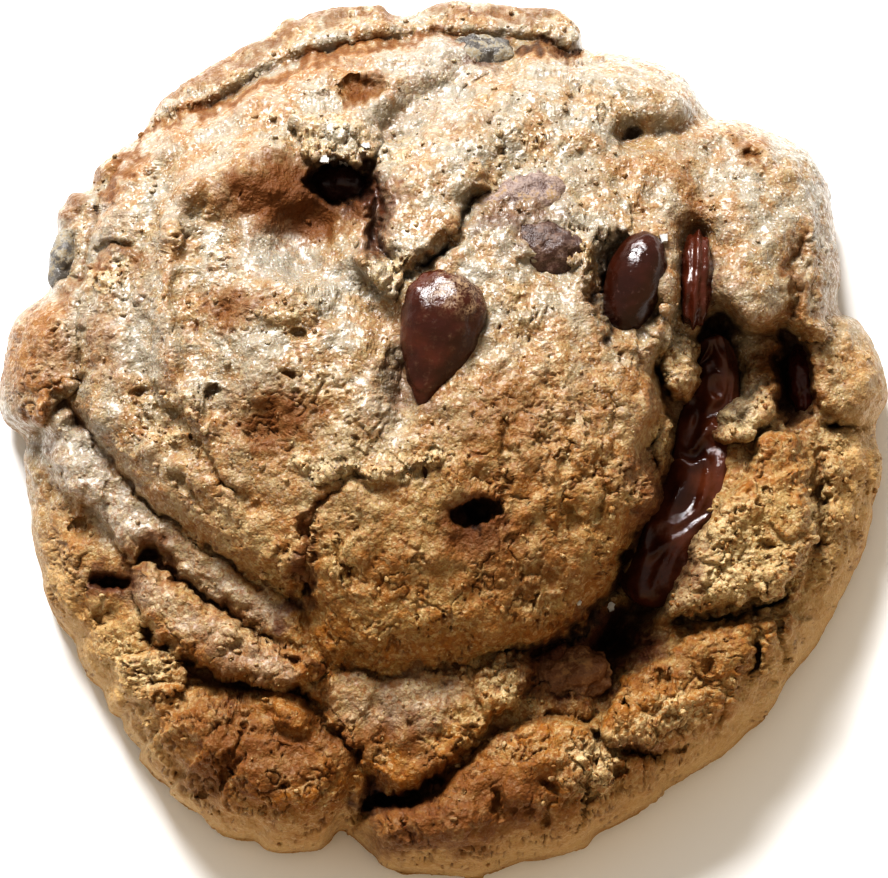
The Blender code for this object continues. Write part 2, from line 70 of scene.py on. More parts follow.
CROWN_TOP = 26.6
CROWN_MIDDLE = (44.0, 38.0)
CROWN_FALL = 13.0
CROWN_REACH_SIDE = 46.0
CROWN_REACH_BACK = 38.0
CROWN_REACH_FRONT = 36.0
CROWN_SHOULDER = 2.2
CROWN_SHOULDER_RUN = 5.0
CROWN_ROUND = 2.0
SKIRT_LEVEL = 10.5
SKIRT_RISE = 3.0
SKIRT_RISE_RUN = 16.0
EDGE_ROUND_FRONT = 6.5
EDGE_ROUND_BACK = 3.0
EDGE_LEVEL = 4.6
EDGE_BACK_LIFT = 3.4
FOOT_INSET = 2.2
SIDE_BULGE = 0.6

# Grooves narrower than this, and plates and mounds with sharper edges than these, are torn
FINE_GROOVE = 1.1
SHARP_PLATE = 2.4
SHARP_MOUND = 1.2

GRID = 560
SIDE_RINGS = 16
SPLINE_STEPS = 6

OUTLINE = [
    (27.0, 3.5), (28.1, 2.3), (29.0, 1.8), (30.0, 1.9), (31.3, 1.2), (34.4, 0.8), (37.8, 0.4), (39.1, 1.3),
    (41.0, 1.6), (43.1, 0.6), (44.9, 0.2), (48.0, 0.3), (52.0, 0.8), (55.5, 0.9), (57.8, 2.7), (58.4, 4.8),
    (61.0, 5.2), (64.0, 5.8), (67.0, 7.0), (69.0, 8.5), (70.7, 11.0), (71.5, 11.7), (74.0, 12.2),
    (77.0, 13.3), (80.2, 14.7), (81.6, 16.2), (82.8, 18.8), (83.2, 21.5), (84.0, 26.6), (83.7, 29.5),
    (84.0, 31.2), (85.6, 32.0), (87.3, 34.6), (88.2, 36.5), (88.7, 39.3), (87.9, 41.3), (87.5, 42.7),
    (88.1, 45.7), (87.9, 48.0), (87.2, 50.0), (87.1, 51.8), (86.2, 55.1), (84.3, 59.2), (81.9, 63.6),
    (79.0, 67.6), (77.3, 70.5), (76.2, 71.8), (74.9, 72.9), (72.9, 74.8), (69.3, 77.4), (66.6, 78.8),
    (66.0, 79.7), (62.2, 82.0), (59.6, 83.3), (58.2, 84.7), (54.8, 85.8), (51.7, 86.2), (47.6, 87.6),
    (44.3, 87.4), (41.5, 87.2), (38.4, 86.6), (37.3, 85.4), (34.3, 83.0), (32.0, 84.8), (29.0, 85.2),
    (26.7, 85.0), (25.4, 84.0), (23.5, 83.8), (21.2, 82.8), (20.2, 81.6), (18.7, 80.8), (17.1, 79.5),
    (17.0, 78.7), (15.1, 77.0), (14.1, 75.7), (14.1, 74.7), (12.6, 73.2), (12.2, 71.7), (10.9, 70.9),
    (10.1, 68.8), (8.8, 67.3), (8.0, 65.5), (7.6, 63.7), (6.1, 62.4), (4.6, 59.5), (4.2, 57.2), (3.4, 54.0),
    (2.9, 49.6), (2.4, 45.7), (2.6, 43.6), (0.3, 41.5), (0.1, 38.2), (0.8, 34.7), (1.5, 32.2), (3.4, 30.3),
    (4.9, 29.0), (5.1, 27.6), (5.4, 25.9), (5.7, 23.8), (5.8, 21.3), (6.5, 20.4), (7.1, 19.4), (9.0, 19.1),
    (9.9, 16.8), (11.9, 14.9), (13.6, 13.8), (14.7, 12.6), (15.3, 11.3), (16.8, 9.4), (19.7, 7.5),
    (23.5, 5.0),
]

CROWN = [
    (9.9, 20.2), (10.7, 18.7), (12.4, 16.0), (15.0, 13.3), (18.1, 11.6), (21.2, 10.7), (23.3, 9.3),
    (26.0, 7.5), (28.5, 6.3), (31.1, 5.6), (33.5, 5.0), (36.5, 4.2), (39.1, 3.9), (42.6, 3.6), (47.3, 3.8),
    (50.7, 3.8), (53.4, 4.0), (57.8, 5.5), (61.0, 3.0), (72.0, 6.0), (86.0, 12.0), (90.0, 25.0), (84.4, 31.0),
    (83.0, 33.6), (81.2, 34.1), (79.9, 33.6), (78.4, 33.0), (77.2, 33.4), (74.5, 33.4), (72.2, 31.3),
    (71.4, 31.8), (69.6, 33.6), (67.6, 32.6), (67.2, 33.4), (66.3, 35.7), (65.9, 37.2), (66.5, 41.2),
    (65.5, 43.8), (65.2, 45.5), (66.5, 49.3), (64.9, 51.9), (62.6, 54.9), (61.3, 58.1), (59.1, 61.6),
    (56.1, 63.9), (53.2, 65.2), (50.9, 65.1), (46.1, 66.2), (42.0, 66.8), (38.0, 66.8), (33.0, 66.6),
    (31.0, 65.0), (30.6, 61.6), (28.6, 58.8), (25.4, 57.7), (22.2, 55.5), (17.8, 52.3), (13.7, 49.1),
    (10.5, 45.0), (7.8, 41.4), (7.9, 38.0), (7.9, 34.0), (8.0, 30.0), (8.5, 26.0), (9.3, 23.0),
]


# How far, and over what distance, the shader's grains are bent out of shape
# How far the crumb colours are shifted about, and over what size
WANDER = 0.5
WANDER_SIZE = 0.45
# Toward the back left the crust is glossier, and its colour there carries a painted sheen and painted glints:
# how far along this direction of the plan they come in
SHEEN_ALONG = np.array([-0.2, -1.0])
SHEEN_RANGE = (-68.0, -34.0)
# Over what distance from the front the crust turns even, and how strongly browned crust is crackled
FROST_RANGE = (-10.0, 22.0)
CRACKLE = 0.65

NOISE_SEED = 5
NOISE_SHIFT = 57.31
GRAIN_SEED = 7
GRAIN_SHIFT = 91.7
CRYSTAL_SEED = 23
# The bumps of the ribbed strip, and how finely a loose crumb is divided
RIB_PITCH = 0.95
BALL_TURNS = 8
BALL_ROWS = 5

# The run of melted chocolate: its path in the plan, and its half widths and heights along it
MELT_PATH = ((70.8, 33.6), (71.6, 36.4), (71.5, 39.8), (70.6, 43.4), (70.6, 46.8), (69.2, 50.8), (66.4, 55.4),
             (63.8, 60.4))
MELT_HALF_WIDTHS = (1.5, 2.1, 2.6, 3.0, 3.9, 3.9, 3.6, 2.4)
MELT_LEVELS = (12.6, 11.7, 11.0, 11.0, 11.0, 10.8, 10.5, 10.0)
MELT_THICKNESS = 1.6


class Tint(Enum):
    """What the surface of the dough carries at a place."""

    BROWN = "brown"
    PALE = "pale"
    GREY = "grey"
    SMEAR = "smear_and_shade"
    SHADE = "shade"
    DARK = "dark"


@dataclass(frozen=True)
class Mound:
    """A rounded rise, or a hollow where rise is negative, of two half lengths and turned by degrees."""

    at: tuple
    half: tuple
    rise: float
    turn: float = 0.0
    power: float = 1.5


@dataclass(frozen=True)
class Groove:
    """A crease, or a ridge where depth is negative, along a path of places."""

    along: tuple
    width: float
    depth: float


@dataclass(frozen=True)
class Plate:
    """A patch of crust that stands over what is round it, with a rounded edge."""

    outline: tuple
    rise: float
    edge: float


@dataclass(frozen=True)
class Stain:
    """A patch of colour: its middle, its half lengths and its strength."""

    at: tuple
    half: tuple
    amount: float
    turn: float = 0.0


@dataclass(frozen=True)
class Streak:
    """A line of colour along a path, with its half width and its strength."""

    along: tuple
    width: float
    amount: float


def lattice_key(table: np.ndarray, lattice: np.ndarray) -> np.ndarray:
    """A steady random number of 0 to 255 for each cell of a lattice.

    Args:
        table: the numbers in random order.
        lattice: the cells' three indices, one cell a row.

    Returns:
        One number a cell.
    """
    first = table[lattice[:, 0]] + lattice[:, 1]
    second = table[first & 255] + lattice[:, 2]
    return table[second & 255]


class Noise:
    """Smooth gradient noise in three dimensions, the same at every run."""

    def __init__(self, seed: int) -> None:
        """Draw the lattice's gradients.

        Args:
            seed: what the random draws start from.
        """
        rng = np.random.default_rng(seed)
        self.table = rng.permutation(256)
        directions = rng.normal(size=(256, 3))
        self.gradients = directions / np.linalg.norm(directions, axis=1)[:, None]

    def __call__(self, points: np.ndarray, scale: float) -> np.ndarray:
        """Noise of about -1 to 1 whose bumps are scale millimetres across.

        Args:
            points: places in millimetres, one a row, of two or three columns.
            scale: the size of a bump in millimetres.

        Returns:
            One value a point.
        """
        if points.shape[1] == 2:
            points = np.column_stack([points, np.zeros(len(points))])
        scaled = points / scale + NOISE_SHIFT
        cell = np.floor(scaled).astype(np.int64)
        part = scaled - cell
        ease = part**3 * (part * (part * 6.0 - 15.0) + 10.0)
        total = np.zeros(len(points))
        for corner in range(8):
            step = np.array([corner & 1, (corner >> 1) & 1, (corner >> 2) & 1])
            lattice = (cell + step) & 255
            key = lattice_key(self.table, lattice)
            slope = np.einsum("ij,ij->i", self.gradients[key], part - step)
            weight = np.prod(np.where(step == 1, ease, 1.0 - ease), axis=1)
            total += weight * slope
        return total * 1.6

    def layered(self, points: np.ndarray, scale: float, layers: int, fade: float = 0.5) -> np.ndarray:
        """Noise of several sizes added together, each half as large as the last and weaker by fade.

        Args:
            points: places in millimetres.
            scale: the size of the largest bumps.
            layers: how many sizes.
            fade: each size's strength as a share of the last.

        Returns:
            One value a point.
        """
        total = np.zeros(len(points))
        strength = 1.0
        for layer in range(layers):
            total += strength * self(points + 13.7 * layer, scale / 2**layer)
            strength *= fade
        return total


class Grains:
    """Scattered rounded grains in three dimensions: each point's nearest grain."""

    def __init__(self, seed: int) -> None:
        """Draw the grains' places in their cells, and each grain's own value.

        Args:
            seed: what the random draws start from.
        """
        rng = np.random.default_rng(seed)
        self.table = rng.permutation(256)
        self.offsets = rng.random((256, 3))
        self.own = rng.random(256)

    def __call__(self, points: np.ndarray, size: float) -> tuple:
        """The distances to the nearest and second nearest grain, and the nearest one's own value.

        Args:
            points: places in millimetres.
            size: how far apart the grains are, in millimetres.

        Returns:
            Three arrays, the distances as shares of size.
        """
        scaled = points / size + GRAIN_SHIFT
        cell = np.floor(scaled).astype(np.int64)
        part = scaled - cell
        first = np.full(len(points), 9.0)
        second = np.full(len(points), 9.0)
        own = np.zeros(len(points))
        for step in np.ndindex(3, 3, 3):
            step = np.array(step) - 1
            lattice = (cell + step) & 255
            key = lattice_key(self.table, lattice)
            away = self.offsets[key] + step - part
            distance = np.sqrt(np.einsum("ij,ij->i", away, away))
            nearer = distance < first
            second = np.where(nearer, first, np.minimum(second, distance))
            own = np.where(nearer, self.own[key], own)
            first = np.where(nearer, distance, first)
        return first, second, own


class Curves:
    """Measures on smooth curves through a few places."""

    @staticmethod
    def smooth(points: tuple, closed: bool, steps: int = SPLINE_STEPS) -> np.ndarray:
        """Points on a Catmull-Rom curve through the given ones.

        Args:
            points: the points that it goes through.
            closed: whether it returns to the first.
            steps: the points made between two of them.

        Returns:
            Points, one a row.
        """
        knots = np.array(points, float)
        if closed:
            before, after, ahead = np.roll(knots, 1, 0), np.roll(knots, -1, 0), np.roll(knots, -2, 0)
        else:
            padded = np.vstack([2 * knots[0] - knots[1], knots, 2 * knots[-1] - knots[-2]])
            before, knots, after, ahead = padded[:-3], padded[1:-2], padded[2:-1], padded[3:]
        curve = []
        for a, b, c, d in zip(before, knots, after, ahead):
            for t in np.arange(steps) / steps:
                curve.append(0.5 * (2 * b + (c - a) * t + (2 * a - 5 * b + 4 * c - d) * t**2
                                    + (3 * b - a - 3 * c + d) * t**3))
        if not closed:
            curve.append(np.array(points[-1], float))
        return np.array(curve)

    @staticmethod
    def distance(places: np.ndarray, path: np.ndarray, closed: bool) -> np.ndarray:
        """The distance of each place from a line through the path's points.

        Args:
            places: places in the plan, one a row.
            path: the line's points.
            closed: whether the line returns to its first point.

        Returns:
            One distance a place.
        """
        ends = np.roll(path, -1, 0) if closed else path[1:]
        starts = path if closed else path[:-1]
        nearest = np.full(len(places), np.inf)
        for start, end in zip(starts, ends):
            leg = end - start
            share = np.clip(((places - start) @ leg) / max(leg @ leg, 1e-9), 0.0, 1.0)
            x = places[:, 0] - start[0] - share * leg[0]
            y = places[:, 1] - start[1] - share * leg[1]
            nearest = np.minimum(nearest, x * x + y * y)
        return np.sqrt(nearest)

    @staticmethod
    def inside(places: np.ndarray, outline: tuple) -> np.ndarray:
        """How far each place lies inside a closed outline; negative outside it.

        Args:
            places: places in the plan, one a row.
            outline: the points that the smooth outline goes through.

        Returns:
            One distance a place.
        """
        path = Curves.smooth(outline, True)
        within = np.zeros(len(places), bool)
        for (x0, y0), (x1, y1) in zip(path, np.roll(path, -1, 0)):
            crosses = (y0 > places[:, 1]) != (y1 > places[:, 1])
            reach = x0 + (places[:, 1] - y0) * (x1 - x0) / (y1 - y0 if y1 != y0 else 1.0)
            within ^= crosses & (places[:, 0] < reach)
        distance = Curves.distance(places, path, True)
        return np.where(within, distance, -distance)


def near(places: np.ndarray, points: tuple, margin: float) -> np.ndarray:
    """Which places lie within a margin of the box round some points.

    Args:
        places: places in the plan, one a row.
        points: the points.
        margin: how far outside their box still counts.

    Returns:
        True or false for each place.
    """
    spots = np.array(points, float)
    low, high = spots.min(axis=0) - margin, spots.max(axis=0) + margin
    return np.all((places >= low) & (places <= high), axis=1)


def rounded_step(depth: np.ndarray, width: float) -> np.ndarray:
    """0 outside an edge, rising on a quarter round to 1 where the depth inside reaches the width."""
    share = np.clip(depth / width, 0.0, 1.0)
    return np.sqrt(1.0 - (1.0 - share) ** 2)


def ease(value: np.ndarray, low: float, high: float) -> np.ndarray:
    """0 below low, 1 above high, and a smooth rise between them."""
    share = np.clip((value - low) / (high - low), 0.0, 1.0)
    return share * share * (3.0 - 2.0 * share)


def oval(places: np.ndarray, at: tuple, half: tuple, turn: float) -> np.ndarray:
    """The squared distance of each place from the middle of an oval, which is 1 on its edge.

    Args:
        places: places in the plan, one a row.
        at: the oval's middle.
        half: its half lengths.
        turn: its turn in degrees.

    Returns:
        One value a place.
    """
    angle = math.radians(turn)
    x, y = (places - np.array(at)).T
    along = (x * math.cos(angle) - y * math.sin(angle)) / half[0]
    across = (x * math.sin(angle) + y * math.cos(angle)) / half[1]
    return along**2 + across**2


def is_sharp(form: "Mound | Groove | Plate") -> bool:
    """Whether a form's edge is sharp enough to be torn.

    Args:
        form: the form.

    Returns:
        True where it is.
    """
    if isinstance(form, Plate):
        return form.edge < SHARP_PLATE
    if isinstance(form, Groove):
        return form.width < FINE_GROOVE
    return form.power < SHARP_MOUND


def seen_at(places: np.ndarray, heights: np.ndarray) -> np.ndarray:
    """Points in millimetres, at these heights on the lines of sight through these places.

    Args:
        places: places in the plan, one a row.
        heights: one height a place.

    Returns:
        Points in space, one a row.
    """
    right = places[:, 0] - PLAN_WIDTH / 2
    up = PLAN_LENGTH / 2 - places[:, 1]
    eye = EYE_DISTANCE * EYE_BACK
    on_plane = right[:, None] * np.array([1.0, 0.0, 0.0]) + up[:, None] * EYE_UP
    share = (eye[2] - heights) / (eye[2] - on_plane[:, 2])
    return eye + (on_plane - eye) * share[:, None] - OFFSET


def places_of(points: np.ndarray) -> np.ndarray:
    """The places at which points in space are seen.

    Args:
        points: points in space, one a row.

    Returns:
        Places in the plan.
    """
    eye = EYE_DISTANCE * EYE_BACK
    ray = points + OFFSET - eye
    share = -EYE_DISTANCE / (ray @ EYE_BACK)
    on_plane = ray * share[:, None] + eye
    return np.column_stack([on_plane[:, 0] + PLAN_WIDTH / 2, PLAN_LENGTH / 2 - on_plane @ EYE_UP])


SKIRT_FORMS = (
    # The round lobe on the left, and the one on the right
    Plate(((0.0, 42.0), (-1.0, 36.0), (3.0, 28.8), (8.8, 28.4), (9.2, 33.0), (7.9, 38.6), (5.6, 40.6),
           (3.6, 43.4)), 3.6, 2.6),
    Plate(((80.6, 33.0), (85.0, 30.6), (90.0, 34.0), (90.0, 42.4), (84.0, 42.0), (80.8, 39.0)), 2.4, 3.0),
    # The two grey folds that run down the left side
    Plate(((3.4, 41.2), (7.4, 38.0), (12.0, 43.6), (17.0, 48.6), (24.0, 53.0), (32.0, 57.4), (32.6, 66.0),
           (29.8, 66.0), (25.0, 63.0), (18.6, 58.2), (15.0, 55.6), (12.6, 56.0), (9.8, 51.4), (6.0, 48.8)),
           3.2, 2.3),
    Plate(((13.2, 56.6), (16.4, 57.0), (19.4, 58.8), (24.8, 62.8), (32.6, 66.6), (29.4, 68.9), (25.4, 68.6),
           (19.0, 66.4), (15.0, 63.4)), 3.7, 1.9),
    # The tongue under the front of the crown
    Plate(((28.6, 67.4), (33.4, 65.2), (47.0, 65.0), (52.4, 64.8), (53.8, 67.6), (50.2, 71.4), (46.1, 75.6),
           (41.6, 78.6), (38.4, 78.4), (37.2, 77.4), (35.4, 75.0), (32.0, 71.4)), 2.0, 1.2),
    # The front left lobe, the front lobe and the front right lobe
    Plate(((13.6, 69.2), (20.0, 68.5), (29.4, 69.5), (33.6, 72.2), (36.4, 76.4), (36.9, 79.4), (35.8, 81.6),
           (33.9, 84.6), (30.0, 88.0), (20.0, 86.0), (12.0, 76.0)), 2.6, 3.2),
    Plate(((34.8, 83.2), (37.0, 81.6), (43.2, 79.8), (46.2, 76.5), (50.0, 72.9), (55.2, 71.5), (58.8, 72.5),
           (60.8, 78.0), (61.4, 84.0), (48.0, 92.0), (36.0, 90.0)), 2.8, 3.2),
    Plate(((60.6, 70.0), (63.0, 67.4), (66.6, 65.4), (70.0, 63.0), (75.0, 62.2), (81.8, 61.6), (80.0, 66.6),
           (76.4, 70.8), (72.0, 73.6), (66.0, 75.4), (61.4, 75.0), (59.8, 73.0)), 2.0, 1.0),
    Plate(((59.6, 76.0), (63.6, 75.8), (70.0, 74.6), (76.0, 71.4), (82.0, 64.0), (92.0, 60.0), (84.0, 80.0),
           (60.0, 88.0)), 1.2, 1.2),
    # The crumbled lumps on the right, beside the melted chocolate
    Plate(((66.8, 61.4), (68.4, 57.4), (69.8, 53.4), (72.8, 49.6), (75.0, 46.2), (76.0, 43.6), (78.6, 43.0),
           (80.6, 45.6), (81.6, 53.0), (78.8, 58.8), (73.0, 60.6), (69.4, 61.4)), 3.6, 1.6),
    Plate(((70.4, 43.4), (72.6, 40.6), (75.0, 39.6), (77.6, 38.4), (78.2, 40.6), (76.4, 42.6), (73.0, 44.6)),
          3.2, 1.0),
    Plate(((66.4, 31.4), (69.4, 32.4), (70.2, 36.2), (69.4, 39.8), (67.2, 40.4), (66.0, 36.0)), 6.4, 1.2),
    Plate(((65.4, 41.8), (67.4, 42.4), (67.6, 45.4), (66.2, 48.0), (65.0, 46.0)), 5.0, 1.0),
    # The pale lump at the front left
    Plate(((12.4, 65.6), (17.6, 65.2), (18.6, 68.2), (14.6, 70.4), (12.0, 69.0)), 2.0, 1.4),
    Mound((29.6, 71.8), (2.4, 1.9), 1.2, 0.0, 1.0),
    Mound((22.6, 64.0), (2.4, 1.2), 0.6, 20.0, 1.0),
    Mound((8.4, 47.6), (2.2, 3.0), 0.8, 30.0, 1.0),
    Groove(((9.2, 18.8), (11.3, 15.7), (14.4, 12.6), (16.6, 11.2), (20.2, 9.3), (24.0, 7.4), (27.4, 5.7),
            (31.0, 4.4), (36.4, 3.1), (42.6, 2.5), (48.0, 2.6), (53.4, 2.9), (57.2, 4.2)), 1.25, -1.0),
    Groove(((9.9, 20.4), (12.4, 17.0), (15.0, 14.0), (18.1, 12.2), (21.2, 11.2), (23.6, 9.8), (26.0, 8.1),
            (28.5, 6.9), (31.1, 6.1), (36.5, 4.7), (42.6, 4.1), (50.7, 4.3), (53.4, 4.5), (57.8, 5.9)),
            1.12, 0.7),
    Groove(((7.6, 41.6), (10.2, 45.2), (13.6, 49.4), (17.6, 52.7), (22.0, 55.9), (25.2, 58.0), (28.2, 59.2),
            (30.4, 61.8), (30.8, 65.2)), 0.34, 0.7),
    Groove(((31.0, 65.6), (33.0, 67.0), (38.0, 67.3), (42.0, 67.3), (46.1, 66.7), (50.9, 65.7)), 0.36, 0.7),
    Groove(((50.9, 65.7), (53.4, 65.7), (56.4, 64.4), (59.4, 62.2), (61.6, 58.4), (63.0, 55.2)), 0.55, 2.2),
    Groove(((70.4, 33.0), (71.6, 38.0), (70.2, 43.0), (68.8, 48.0), (66.4, 54.6), (63.2, 60.6), (61.0, 65.0)),
           2.8, 4.8),
    Groove(((64.6, 60.4), (62.6, 62.6), (60.6, 65.4), (59.6, 68.0)), 1.5, 3.2),
    Groove(((66.6, 62.6), (63.4, 64.4), (60.0, 64.6)), 0.9, 2.2),
    Mound((79.3, 37.8), (2.1, 5.0), -5.4, 0.0, 0.7),
    Groove(((36.6, 80.0), (38.6, 79.9), (41.6, 79.4), (44.0, 78.0)), 0.8, 3.0),
    Groove(((44.0, 78.0), (46.4, 76.2), (50.0, 73.6), (54.8, 71.6), (58.4, 71.8), (60.4, 69.4)), 0.4, 1.1),
    Mound((39.6, 80.2), (3.4, 1.0), -2.2, 4.0, 1.0),
    Groove(((34.4, 83.4), (35.4, 82.0), (36.6, 80.4)), 0.55, 2.6),
    Groove(((67.4, 62.2), (70.6, 62.0), (74.4, 61.4), (78.4, 59.8)), 0.5, 2.8),
    Groove(((59.6, 73.6), (60.6, 76.4), (62.0, 78.6)), 0.45, 1.6),
    Groove(((75.4, 62.8), (75.6, 65.0), (75.3, 67.4)), 0.4, 2.6),
    Groove(((17.8, 57.4), (20.4, 59.4), (22.2, 60.9), (25.4, 62.8), (28.6, 65.0), (31.6, 67.0)), 0.36, 0.8),
    Groove(((15.5, 63.7), (19.0, 66.6), (21.9, 68.2), (25.4, 68.8), (28.3, 68.7), (30.2, 69.9), (33.0, 72.4),
            (35.9, 75.6), (37.2, 78.8)), 0.45, 0.8),
    Mound((24.4, 69.4), (4.0, 1.4), -0.8, -4.0, 1.0),
    # The bed of the brown chip at the front, and lumps of crumb in the dark zone beside it
    Mound((55.6, 67.4), (3.6, 2.4), -1.3, 6.0, 1.0),
    Mound((61.6, 66.6), (1.3, 1.0), 1.5, 0.0, 0.9),
    Mound((63.4, 63.6), (1.1, 0.9), 1.3, 30.0, 0.9),
    # Torn crumb and pits along the rim
    Plate(((46.8, 68.2), (48.2, 66.2), (52.4, 65.6), (53.6, 67.4), (52.4, 70.0), (50.2, 71.6), (48.0, 70.8)),
          0.9, 0.6),
    Plate(((57.4, 73.4), (59.4, 72.4), (60.8, 74.6), (62.6, 76.8), (62.6, 78.8), (60.2, 78.0), (58.6, 75.6)),
          0.9, 0.6),
    Plate(((66.0, 71.0), (70.0, 69.0), (74.0, 70.2), (72.6, 73.0), (69.0, 75.4), (66.4, 74.6)), 0.9, 0.5),
    Plate(((69.4, 64.8), (72.4, 63.6), (75.0, 64.0), (74.4, 67.4), (71.6, 68.4), (69.4, 67.2)), 0.9, 0.5),
    Plate(((76.2, 63.4), (79.6, 62.6), (80.4, 65.2), (78.2, 67.6), (76.0, 67.0)), 0.9, 0.5),
    Plate(((61.4, 70.8), (64.6, 69.0), (66.6, 70.4), (65.6, 73.4), (62.4, 74.2)), 0.7, 0.5),
    Plate(((77.6, 47.4), (80.4, 46.6), (81.2, 49.4), (80.6, 53.0), (78.0, 54.2), (76.8, 51.0)), 0.9, 0.5),
    Plate(((82.6, 46.0), (86.0, 45.0), (86.6, 48.6), (85.6, 52.4), (83.0, 53.0), (82.4, 49.6)), 0.8, 0.5),
    Plate(((77.2, 56.0), (80.0, 55.2), (80.6, 58.4), (78.6, 60.4), (76.8, 59.0)), 1.0, 0.5),
    Plate(((36.6, 84.0), (42.4, 81.4), (46.0, 80.0), (48.4, 82.2), (44.0, 85.0), (39.0, 86.4)), 0.7, 0.6),
    Plate(((50.8, 77.4), (55.0, 75.0), (57.6, 77.0), (56.4, 80.4), (52.6, 82.0), (50.4, 80.0)), 0.7, 0.5),
    Plate(((16.0, 71.6), (21.4, 71.0), (24.0, 73.4), (21.8, 76.0), (17.8, 76.0)), 0.8, 0.5),
    Plate(((24.6, 73.4), (29.8, 74.0), (33.6, 77.0), (31.0, 80.6), (26.0, 80.4), (23.0, 77.4)), 0.8, 0.6),
    Plate(((16.4, 79.0), (19.6, 79.6), (22.6, 81.4), (22.0, 83.4), (18.8, 82.0)), 0.9, 0.5),
    Mound((63.8, 75.2), (2.6, 0.7), -2.0, -8.0, 0.8),
    Mound((68.2, 74.8), (1.2, 0.5), -1.4, 20.0, 0.8),
    Mound((75.4, 70.8), (1.0, 0.6), -1.4, 40.0, 0.8),
    Mound((79.6, 67.6), (0.6, 0.9), -1.2, 30.0, 0.8),
    Mound((66.4, 67.6), (0.5, 0.9), -1.2, -20.0, 0.8),
    Mound((81.8, 49.6), (0.5, 1.4), -1.4, 0.0, 0.8),
    Mound((76.6, 54.4), (0.9, 0.6), -1.4, 0.0, 0.8),
    Mound((23.6, 76.6), (0.6, 1.6), -1.2, -20.0, 0.8),
    Mound((49.6, 80.8), (0.6, 1.6), -1.2, 10.0, 0.8),
    Mound((62.0, 77.2), (0.9, 0.7), -2.0, 0.0, 0.8),
    Mound((62.2, 70.4), (0.6, 0.9), -1.4, 0.0, 0.8),
    Mound((71.0, 67.0), (0.6, 0.9), -1.4, 0.0, 0.8),
    Mound((73.6, 74.0), (0.8, 0.6), -1.2, 30.0, 0.8),
    Groove(((54.5, 78.5), (55.9, 79.8), (54.8, 81.2), (53.8, 83.6)), 0.5, 1.9),
    Groove(((59.1, 78.3), (59.6, 79.2), (58.4, 80.3)), 0.45, 1.6),
    Groove(((63.0, 69.4), (64.4, 71.4), (67.6, 72.0)), 0.4, 1.1),
    Groove(((70.2, 66.6), (72.4, 69.4), (72.0, 71.6)), 0.4, 1.2),
    Groove(((78.0, 62.4), (78.6, 65.6), (77.6, 68.0)), 0.4, 1.2),
    Mound((17.6, 76.8), (0.9, 0.6), -1.3, 0.0, 0.8),
    Mound((20.4, 79.2), (1.0, 0.7), -1.3, 20.0, 0.8),
    Mound((22.4, 78.0), (0.6, 0.9), -1.0, 0.0, 0.8),
    Mound((7.8, 53.0), (0.6, 1.1), -1.0, 0.0, 0.8),
    Mound((10.4, 61.8), (1.1, 1.1), -1.4, 0.0, 0.8),
    Groove(((82.4, 43.0), (84.4, 42.6), (86.4, 42.2), (88.0, 41.6)), 0.5, 1.8),
    Groove(((81.8, 45.4), (82.4, 49.0), (82.0, 52.0), (81.4, 54.4)), 0.5, 1.0),
    Mound((81.7, 54.4), (0.9, 0.7), -1.4, 0.0, 0.9),
    Mound((77.8, 56.1), (0.8, 0.7), -1.4, 0.0, 0.9),
    Groove(((6.0, 39.4), (6.8, 40.6), (7.8, 41.8)), 1.0, 3.6),
    Mound((11.2, 58.0), (2.1, 1.1), -3.0, -4.0, 0.9),
    Mound((15.0, 63.2), (1.0, 1.3), -2.2, 20.0, 1.0),
    Mound((14.6, 55.6), (1.4, 1.0), -2.0, 0.0, 1.0),
    Mound((83.0, 42.9), (1.2, 0.8), -1.4, 0.0, 1.0),
)

